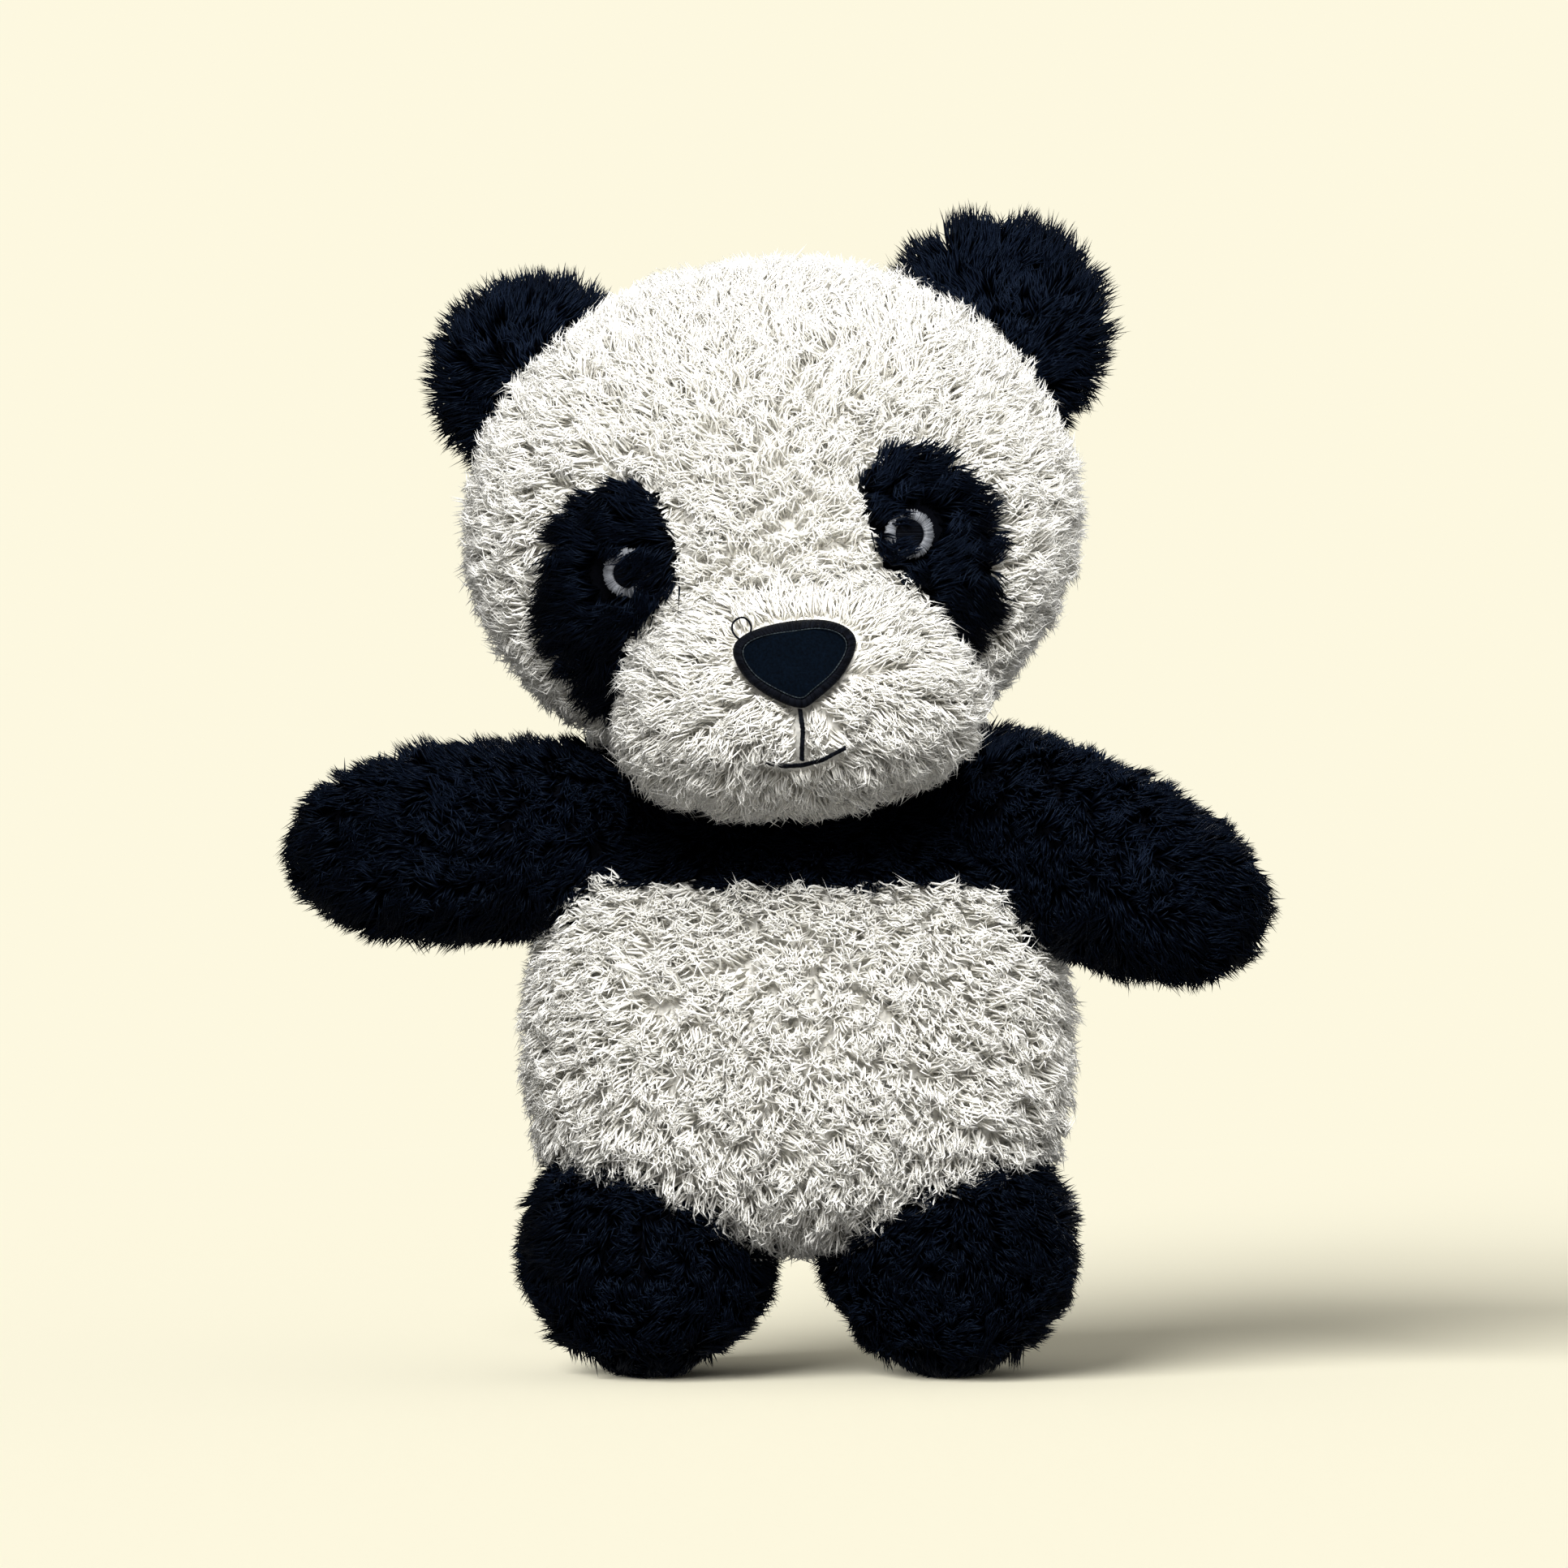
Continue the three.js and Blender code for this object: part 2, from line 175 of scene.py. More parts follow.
def node_tree(name: str) -> BVHTree:
    """The faces of the frame's solid called name."""
    return tree_of(frame["nodes"][name].data)


class Side(Enum):
    """The toy's own two sides."""

    LEFT = "left"
    RIGHT = "right"

    @property
    def sign(self) -> int:
        """Which way along X the side lies."""
        return 1 if self is Side.LEFT else -1

    def of(self, piece: str) -> str:
        """The name of this side's piece."""
        return f"{self.value}_{piece}"


# ------------------------------------------------------------------- finishes


class Nodes:
    """A material being wired: adds nodes and joins them by name."""

    def __init__(self, name: str) -> None:
        """Starts an empty node material with a Principled shader.

        Args:
            name: the material's name.
        """
        self.material = bpy.data.materials.new(name)
        self.material.use_nodes = True
        self.tree = self.material.node_tree
        self.shader = self.tree.nodes["Principled BSDF"]

    def add(self, kind: str, **sockets: object) -> bpy.types.Node:
        """Adds a node and sets or links its inputs.

        Args:
            kind: the node's type without the ShaderNode prefix.
            **sockets: input values by name, spaces written as underscores; a
                socket is linked and anything else is set.

        Returns:
            The node.
        """
        node = self.tree.nodes.new("ShaderNode" + kind)
        for name, value in sockets.items():
            self.put(node, name.replace("_", " "), value)
        return node

    def put(self, node: bpy.types.Node, name: str, value: object) -> None:
        """Sets or links one input of a node.

        Args:
            node: the node.
            name: the input's name.
            value: a socket to link, or what to set.
        """
        socket = node.inputs[name]
        if isinstance(value, bpy.types.NodeSocket):
            self.tree.links.new(value, socket)
        else:
            socket.default_value = value

    def attribute(self, name: str) -> bpy.types.NodeSocket:
        """The number that the mesh stores under name."""
        node = self.add("Attribute")
        node.attribute_name = name
        return node.outputs["Fac"]

    def place(self) -> bpy.types.NodeSocket:
        """Object coordinates."""
        return self.add("TexCoord").outputs["Object"]

    def noise(self, scale: float, detail: float = 3, roughness: float = 0.5) -> bpy.types.NodeSocket:
        """Noise in space.

        Args:
            scale: about how many cells there are to the metre.
            detail: how many finer layers are added.
            roughness: how much the finer layers count.

        Returns:
            The noise, from 0 to 1.
        """
        node = self.add("TexNoise", Vector=self.place(), Scale=scale, Detail=detail, Roughness=roughness)
        return node.outputs["Fac"]

    def ramp(self, value: bpy.types.NodeSocket, stops: list[tuple[float, Colour]]) -> bpy.types.NodeSocket:
        """Colours value by the given stops.

        Args:
            value: what picks the colour, from 0 to 1.
            stops: position and colour of each stop.

        Returns:
            The colour.
        """
        node = self.add("ValToRGB", Fac=value)
        elements = node.color_ramp.elements
        while len(elements) < len(stops):
            elements.new(0.5)
        for element, (position, colour) in zip(elements, stops):
            element.position = position
            element.color = (*colour, 1)
        return node.outputs["Color"]

    def spread(self, value: bpy.types.NodeSocket, low: float, high: float) -> bpy.types.NodeSocket:
        """Carries a value over from 0 to 1 to another range.

        Args:
            value: the value.
            low: what 0 becomes.
            high: what 1 becomes.

        Returns:
            The new value.
        """
        node = self.add("MapRange", Value=value)
        node.inputs["To Min"].default_value = low
        node.inputs["To Max"].default_value = high
        return node.outputs["Result"]

    def times(self, colour: bpy.types.NodeSocket, *factors: bpy.types.NodeSocket) -> bpy.types.NodeSocket:
        """Multiplies a colour by each of the factors.

        Args:
            colour: the colour.
            *factors: numbers or colours.

        Returns:
            The product.
        """
        for factor in factors:
            node = self.tree.nodes.new("ShaderNodeMix")
            node.data_type = "RGBA"
            node.blend_type = "MULTIPLY"
            node.inputs["Factor"].default_value = 1
            self.tree.links.new(colour, node.inputs["A"])
            self.tree.links.new(factor, node.inputs["B"])
            colour = node.outputs["Result"]
        return colour

    def bump(self, height: bpy.types.NodeSocket, strength: float, distance: float) -> None:
        """Gives the shader a bump.

        Args:
            height: the height, from 0 to 1.
            strength: how much of it shows.
            distance: how high 1 stands, in metres.
        """
        node = self.add("Bump", Height=height, Strength=strength, Distance=distance)
        self.put(self.shader, "Normal", node.outputs["Normal"])

    def finish(self, **constants: float | Colour) -> bpy.types.Material:
        """Sets the shader's plain sockets.

        Args:
            **constants: values by the socket's name, spaces written as underscores.

        Returns:
            The material.
        """
        for name, value in constants.items():
            socket = self.shader.inputs[name.replace("_", " ")]
            socket.default_value = (*value, 1) if socket.type == "RGBA" else value
        return self.material


@dataclass(frozen=True)
class PileFinish:
    """Long pile: its locks go from a root darkened with painted shade, as deep in the pile, to a brighter
    tip.

    Patchiness is how much broad patches differ, tones how much single locks do, and
    glow how much light passes through a lock.
    """

    name: str
    slot: str
    # root and middle are the lock's colour darkened by painted shade, as falls deep in the pile
    root: Colour
    middle: Colour
    tip: Colour
    gloss: tuple[float, float]
    sheen: float
    sheen_tint: Colour
    patchiness: float
    tones: tuple[float, float]
    shine: float
    shine_tint: Colour = (1.0, 1.0, 1.0)
    glow: float = 0.0

    def material(self) -> bpy.types.Material:
        """Builds the material of the locks."""
        nodes = Nodes(self.name)
        # The ramp from root to tip is painted shade: darker deep in the pile, lighter at the tip.
        along = nodes.ramp(nodes.attribute("along"), [(0, self.root), (0.45, self.middle), (1, self.tip)])
        tone = nodes.spread(nodes.attribute("tone"), *self.tones)
        wide = nodes.spread(nodes.noise(38, 2), 1 - self.patchiness, 1 + 0.5 * self.patchiness)
        fibre = nodes.noise(1900, 4, 0.6)
        strands = nodes.spread(fibre, 0.86, 1.08)
        nodes.put(nodes.shader, "Base Color", nodes.times(along, tone, wide, strands))
        nodes.put(nodes.shader, "Roughness", nodes.spread(fibre, *self.gloss))
        nodes.bump(fibre, 0.35, 0.0002)
        return nodes.finish(
            Subsurface_Weight=self.glow, Subsurface_Scale=1.2 * MM, Subsurface_Radius=(1.0, 0.97, 0.9),
            Sheen_Weight=self.sheen, Sheen_Roughness=0.4, Sheen_Tint=self.sheen_tint,
            Specular_IOR_Level=self.shine, Specular_Tint=self.shine_tint,
        )


@dataclass(frozen=True)
class BackingFinish:
    """The knitted cloth that the pile stands on."""

    name: str
    slot: str
    colour: Colour
    shine: float = 0.3

    def material(self) -> bpy.types.Material:
        """Builds the knit: fine cells with a little colour change."""
        nodes = Nodes(self.name)
        cells = nodes.add("TexVoronoi", Vector=nodes.place(), Scale=900.0).outputs["Distance"]
        dark = tuple(0.6 * c for c in self.colour)
        knit = nodes.ramp(cells, [(0, self.colour), (1, dark)])
        nodes.put(nodes.shader, "Base Color", nodes.times(knit, nodes.spread(nodes.noise(60), 0.85, 1.1)))
        nodes.put(nodes.shader, "Roughness", nodes.spread(cells, 0.85, 1.0))
        nodes.bump(cells, 0.4, 0.0003)
        return nodes.finish(Specular_IOR_Level=self.shine)


@dataclass(frozen=True)
class FeltFinish:
    """Pressed felt with short loose fibres."""

    name: str
    slot: str
    colour: Colour
    lint: Colour

    def material(self) -> bpy.types.Material:
        """Builds the felt: matted fibres with paler lint on them."""
        nodes = Nodes(self.name)
        mat = nodes.noise(1400, 6, 0.7)
        felt = nodes.ramp(mat, [(0.35, self.colour), (0.75, self.lint)])
        nodes.put(nodes.shader, "Base Color", nodes.times(felt, nodes.spread(nodes.noise(220), 0.7, 1.2)))
        nodes.put(nodes.shader, "Roughness", nodes.spread(mat, 0.8, 0.98))
        nodes.bump(mat, 0.6, 0.0003)
        return nodes.finish(Specular_IOR_Level=0.02)


@dataclass(frozen=True)
class ThreadFinish:
    """Embroidery thread with a satin shine along each strand."""

    name: str
    slot: str
    colour: Colour
    bright: Colour
    gloss: tuple[float, float] = (0.5, 0.68)
    shine: float = 0.03

    def material(self) -> bpy.types.Material:
        """Builds the thread: each strand its own shade, with fine ply marks."""
        nodes = Nodes(self.name)
        shade = nodes.ramp(nodes.attribute("tone"), [(0, self.colour), (1, self.bright)])
        ply = nodes.noise(4200, 3, 0.6)
        nodes.put(nodes.shader, "Base Color", nodes.times(shade, nodes.spread(ply, 0.8, 1.15)))
        nodes.put(nodes.shader, "Roughness", nodes.spread(ply, *self.gloss))
        nodes.bump(ply, 0.25, 0.0001)
        return nodes.finish(Specular_IOR_Level=self.shine)


class Finish(Enum):
    """The named finishes of the toy."""

    # The root and middle colours of both piles carry painted shade, darker deep in the pile.
    WHITE_PILE = PileFinish(
        "white pile", "white_pile",
        root=(0.87, 0.84, 0.745), middle=(0.94, 0.915, 0.835), tip=(0.975, 0.955, 0.885),
        gloss=(0.38, 0.62), sheen=0.12, sheen_tint=(1.0, 0.98, 0.94), patchiness=0.05,
        tones=(0.92, 1.03), shine=0.4, glow=0.35,
    )
    # Black pile darkens towards the root: painted shade deep in the pile.
    BLACK_PILE = PileFinish(
        "black pile", "black_pile",
        root=(0.0002, 0.0003, 0.0008), middle=(0.0006, 0.001, 0.0026), tip=(0.0018, 0.0032, 0.0078),
        gloss=(0.4, 0.62), sheen=0.0, sheen_tint=(0.5, 0.6, 0.85), patchiness=0.3,
        tones=(0.4, 1.7), shine=0.1, shine_tint=(0.4, 0.6, 1.0),
    )
    WHITE_BACKING = BackingFinish("white backing", "white_pile", (0.86, 0.84, 0.78))
    BLACK_BACKING = BackingFinish("black backing", "black_pile", (0.0007, 0.001, 0.0024), shine=0.04)
    NOSE_FELT = FeltFinish("nose felt", "nose_felt", (0.0003, 0.0009, 0.002), (0.0012, 0.0034, 0.0075))
    BLACK_THREAD = ThreadFinish(
        "black thread", "black_thread", (0.0008, 0.001, 0.0018), (0.004, 0.005, 0.008),
    )
    DARK_THREAD = ThreadFinish(
        "dark thread", "black_thread", (0.009, 0.012, 0.014), (0.03, 0.038, 0.042),
    )
    GREY_THREAD = ThreadFinish(
        "grey thread", "grey_thread", (0.04, 0.044, 0.052), (0.2, 0.21, 0.23),
        gloss=(0.34, 0.5), shine=0.45,
    )

    def dress(self, obj: bpy.types.Object) -> None:
        """Gives obj this finish."""
        obj.data.materials.clear()
        obj.data.materials.append(self.made())

    def made(self) -> bpy.types.Material:
        """The finish's material, made when it is first asked for."""
        if self.name not in _MADE:
            _MADE[self.name] = self.value.material()
        return _MADE[self.name]


_MADE: dict[str, bpy.types.Material] = {}


# --------------------------------------------------------------- stuffed forms


@dataclass(frozen=True)
class Rounded:
    """A rounded body in millimetres: its middle, its reach each way, and how full it is.

    Its lower half may be fuller than the upper (low) and drawn in at the sides (narrow).
    """

    at: tuple[float, float, float]
    x: float
    front: float
    back: float
    up: float
    down: float
    full: float = 2.1
    low: float | None = None
    narrow: float = 0.0

    def build(self, name: str, matrix: Matrix, inset: float) -> bpy.types.Object:
        """Models the body.

        Args:
            name: the object's name.
            matrix: from the body's own millimetres to the row frame.
            inset: how far inside its full size its surface lies, in millimetres.

        Returns:
            The closed body.
        """
        deselect()
        bpy.ops.mesh.primitive_ico_sphere_add(subdivisions=5, radius=1)
        obj = bpy.context.active_object
        points = verts_of(obj.data)
        below, ahead = points[:, 2] < 0, points[:, 1] < 0
        level = (np.abs(points[:, :2]) ** self.full).sum(1) ** (1 / self.full)
        power = np.where(below, self.low or self.full, self.full)
        points /= ((level ** power + np.abs(points[:, 2]) ** power) ** (1 / power))[:, None]
        points[:, 0] *= 1 - self.narrow * np.where(below, points[:, 2] ** 2, 0)
        reach = np.stack([
            np.full(len(points), self.x), np.where(ahead, self.front, self.back),
            np.where(below, self.down, self.up),
        ], axis=1)
        points = np.array(self.at) + points * (reach - inset)
        turned = points @ np.array(matrix.to_3x3()).T + np.array(matrix.translation)
        obj.data.vertices.foreach_set("co", turned.ravel())
        obj.data.update()
        obj.name = obj.data.name = name
        return obj


@dataclass
class StuffedForm:
    """A sewn and stuffed body under its pile, swollen by its stuffing.

    It lies under_pile millimetres inside its full size, of which the stuffing swells the
    cloth by puff. A point of the cloth moves at most cap times the puff.
    """

    name: str
    shapes: tuple[tuple[Rounded, Matrix], ...]
    stands_for: tuple[str, ...]
    backing: Finish
    under_pile: float = 2.6
    puff: float = 1.6
    voxel: float = 2.8 * MM
    floor: float | None = None
    fill: float = 0.8
    pressure: float = 4
    steps: int = 12
    cap: float = 1.35

    def build(self) -> bpy.types.Object:
        """Joins the bodies, lets the stuffing swell the cloth, and dresses it.

        Returns:
            The form, not yet riding on a body.
        """
        inset = self.under_pile + self.puff
        parts = [shape.build(self.name, matrix, inset) for shape, matrix in self.shapes]
        obj = parts[0]
        take(obj)
        if len(parts) > 1:
            for part in parts:
                part.select_set(True)
            bpy.ops.object.join()
        obj.name = obj.data.name = self.name
        if self.floor is not None:
            self._trim(obj, self.floor)
        obj.data.remesh_voxel_size = self.voxel
        bpy.ops.object.voxel_remesh()
        smooth = obj.modifiers.new("smooth", "SMOOTH")
        smooth.factor, smooth.iterations = 0.5, 5
        apply_modifiers(obj)
        self._swell(obj)
        bpy.ops.object.shade_smooth()
        self.backing.dress(obj)
        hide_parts(*self.stands_for)
        log.info("%s: %d faces", self.name, len(obj.data.polygons))
        return obj

    def _trim(self, obj: bpy.types.Object, level: float) -> None:
        """Cuts the body flat at a level, for a sole."""
        with editing(obj):
            bpy.ops.mesh.bisect(
                plane_co=(0, 0, level), plane_no=(0, 0, 1), use_fill=True, clear_inner=True
            )

    def _swell(self, obj: bpy.types.Object) -> None:
        """Presses the cloth out from inside, and caps how far it moves."""
        before, out = verts_of(obj.data), unit(normals_of(obj.data))
        cloth = obj.modifiers.new("stuffing", "CLOTH").settings
        cloth.quality = 4
        cloth.mass = 0.2
        cloth.tension_stiffness = cloth.compression_stiffness = 12
        cloth.bending_stiffness = 0.4
        cloth.use_pressure = True
        cloth.uniform_pressure_force = self.pressure
        cloth.effector_weights.gravity = 0
        scene = bpy.context.scene
        for step in range(1, self.steps + 1):
            scene.frame_set(step)
        apply_modifiers(obj)
        scene.frame_set(1)
        move = verts_of(obj.data) - before
        far = np.linalg.norm(move, axis=1, keepdims=True)
        cap = self.puff * self.cap * MM
        move *= np.minimum(1, cap / np.maximum(far, 1e-9))
        move += out * (self.puff * MM - (move * out).sum(1).mean())
        capped = before + move
        if self.floor is not None:
            capped[:, 2] = np.maximum(capped[:, 2], before[:, 2].min())
        obj.data.vertices.foreach_set("co", capped.ravel())
        obj.data.update()


def two_backings(form: bpy.types.Object, is_black: Callable[[Vector, Vector], bool]) -> None:
    """Gives white cloth its black backing where black pile grows.

    Args:
        form: a form dressed in white backing.
        is_black: whether the cloth is black at a place, facing a given way.
    """
    white = Finish.WHITE_BACKING
    Finish.BLACK_BACKING.dress(form)
    form.data.materials.append(white.made())
    for face in form.data.polygons:
        face.material_index = 0 if is_black(face.center, face.normal) else 1


def fit_against(obj: bpy.types.Object, neighbour: bpy.types.Object) -> None:
    """Cuts obj back to where it meets its neighbour, as at a sewn seam."""
    cut = obj.modifiers.new("seam", "BOOLEAN")
    cut.operation, cut.object, cut.solver = "DIFFERENCE", neighbour, "EXACT"
    apply_modifiers(obj)


# ------------------------------------------------------------------------ pile


def cut_to_model(axis: Vector, cuts: list[float]) -> tuple[Array, Array]:
    """Cuts the active primitive across an axis, and takes it as a model to copy.

    Args:
        axis: the way along the piece.
        cuts: where it is cut, along the axis.

    Returns:
        Its vertices and its triangles. The primitive itself is removed.
    """
    obj = bpy.context.active_object
    bpy.ops.object.transform_apply(location=True, rotation=True, scale=True)
    with editing(obj):
        for cut in cuts:
            bpy.ops.mesh.select_all(action="SELECT")
            bpy.ops.mesh.bisect(plane_co=axis * cut, plane_no=axis)
        bpy.ops.mesh.select_all(action="SELECT")
        bpy.ops.mesh.quads_convert_to_tris()
    verts = verts_of(obj.data)
    faces = np.array([list(p.vertices) for p in obj.data.polygons])
    bpy.data.objects.remove(obj)
    return verts, faces


class Lock(Enum):
    """The kinds of lock, by the height and width of their rings between root and tip."""

    FINE = ((0.42, 1.0),)
    WAVY = ((0.36, 1.0), (0.76, 0.78))


class LockShape:
    """One lock of pile, modelled once and copied for every place."""

    def __init__(self, kind: Lock) -> None:
        """Models the lock upright, one unit long.

        Args:
            kind: which lock.
        """
        rings = kind.value
        deselect()
        bpy.ops.mesh.primitive_cone_add(
            vertices=3, radius1=1, radius2=0, depth=1, end_fill_type="NGON", location=(0, 0, 0.5)
        )
        self.verts, self.faces = cut_to_model(Vector((0, 0, 1)), [height for height, _ in rings])
        self._widen(rings)
        self.corners = self._flat_corners()

    def _widen(self, rings: tuple[tuple[float, float], ...]) -> None:
        """Sets each ring's width, with a narrow root."""
        widths = {0.0: 0.5, 1.0: 0.0, **dict(rings)}
        for vert in self.verts:
            height = min(widths, key=lambda key: abs(key - vert[2]))
            flat = math.hypot(vert[0], vert[1])
            if flat > 1e-6:
                vert[:2] *= widths[height] / flat

    def _flat_corners(self) -> Array:
        """Lays the lock's faces flat, for its cell of the flat map.

        Returns:
            A row for each face corner: across the lock's girth, and along it.
        """
        turn = np.round(np.arctan2(self.verts[:, 1], self.verts[:, 0]) / (2 * math.pi) * 3, 3) % 3
        out = []
        for face in self.faces:
            girths = [None if self.verts[v][2] > 0.99 else float(turn[v]) for v in face]
            known = [g for g in girths if g is not None]
            wraps = known and max(known) - min(known) > 1.5
            lift = [g + 3 if wraps and g is not None and g < 1.5 else g for g in girths]
            middle = sum(g for g in lift if g is not None) / max(1, len(known))
            for girth, vert in zip(lift, face):
                across = middle if girth is None else girth
                out.append((across / 4.5, float(self.verts[vert][2])))
        return np.array(out)


@dataclass
class Roots:
    """Where locks stand on a form: places, surface directions, and panel numbers."""

    place: Array
    normal: Array
    panel: Array

    def only(self, keep: Array) -> Roots:
        """The roots picked by the mask."""
        return Roots(self.place[keep], self.normal[keep], self.panel[keep])


class Surface:
    """A form's outer surface, for setting roots and laying embroidery on it."""

    def __init__(self, obj: bpy.types.Object) -> None:
        """Reads the surface of obj."""
        mesh = obj.data
        self.tree = tree_of(mesh)
        mesh.calc_loop_triangles()
        index = np.empty(len(mesh.loop_triangles) * 3, dtype=np.int64)
        mesh.loop_triangles.foreach_get("vertices", index)
        self.index = index.reshape(-1, 3)
        self.co, self.normals = verts_of(mesh), normals_of(mesh)
        a, b, c = (self.co[self.index[:, k]] for k in range(3))
        self.areas = np.linalg.norm(np.cross(b - a, c - a), axis=1) / 2

    def scatter(self, per_mm2: float, rng: np.random.Generator) -> tuple[Array, Array]:
        """Spreads points evenly over the surface.

        Args:
            per_mm2: how many to the square millimetre.
            rng: the seeded generator.

        Returns:
            Their places and surface directions.
        """
        count = int(self.areas.sum() * 1e6 * per_mm2)
        ends = np.cumsum(self.areas)
        marks = (np.arange(count) + rng.random(count)) / count * ends[-1]
        tri = self.index[np.searchsorted(ends, marks).clip(0, len(ends) - 1)]
        u, v = rng.random(count), rng.random(count)
        over = u + v > 1
        u[over], v[over] = 1 - u[over], 1 - v[over]
        weights = np.stack([1 - u - v, u, v], axis=1)[:, :, None]
        return (self.co[tri] * weights).sum(1), unit((self.normals[tri] * weights).sum(1))

    def holds(self, points: Array, margin: float) -> Array:
        """Finds the points that lie inside the surface.

        Args:
            points: the points, as rows.
            margin: how far off the surface still counts as inside.

        Returns:
            A mask of those inside.
        """
        out = np.zeros(len(points), dtype=bool)
        low, high = self.co.min(0) - 0.01, self.co.max(0) + 0.01
        for i in np.flatnonzero(((points > low) & (points < high)).all(1)):
            point = Vector(points[i])
            place, normal, _, _ = self.tree.find_nearest(point)
            out[i] = (point - place).dot(normal) < margin
        return out

    def depth(self, x: float, z: float) -> float | None:
        """The Y at which a pin pushed straight back at x, z meets the surface."""
        place, *_ = self.tree.ray_cast(Vector((x, -0.4, z)), Vector((0, 1, 0)))
        return None if place is None else place.y


class Relief:
    """A smooth patch of the face, fitted to the cloth, to lay embroidery on."""

    samples = 22

    def __init__(self, surface: Surface, low: Array, high: Array, degree: int) -> None:
        """Fits a polynomial to the cloth between two corners.

        Args:
            surface: the cloth.
            low: least X and Z of the patch.
            high: greatest X and Z of the patch.
            degree: the polynomial's degree.
        """
        self.powers = [(i, j) for i in range(degree + 1) for j in range(degree + 1 - i)]
        self.middle = (low + high) / 2
        self.half = (high - low) / 2
        rows, depths = [], []
        for x in np.linspace(low[0], high[0], self.samples):
            for z in np.linspace(low[1], high[1], self.samples):
                depth = surface.depth(x, z)
                if depth is not None:
                    rows.append(self._terms(x, z))
                    depths.append(depth)
        self.weights = np.linalg.lstsq(np.array(rows), np.array(depths), rcond=None)[0]

    def _terms(self, x: float, z: float) -> list[float]:
        """The polynomial's terms at x, z."""
        u, v = (np.array((x, z)) - self.middle) / self.half
        return [u**i * v**j for i, j in self.powers]

    def spot(self, x: float, z: float, stand: float) -> tuple[Vector, Vector]:
        """Finds a point off the patch.

        Args:
            x: its X.
            z: its Z.
            stand: how far off the patch it stands.

        Returns:
            The point, and the way out of the cloth there.
        """
        depth = float(np.dot(self._terms(x, z), self.weights))
        step = 0.2 * MM
        across = (float(np.dot(self._terms(x + step, z), self.weights)) - depth) / step
        rise = (float(np.dot(self._terms(x, z + step), self.weights)) - depth) / step
        out = Vector((across, -1, rise)).normalized()
        return Vector((x, depth + stand / min(-0.6, out.y), z)), out


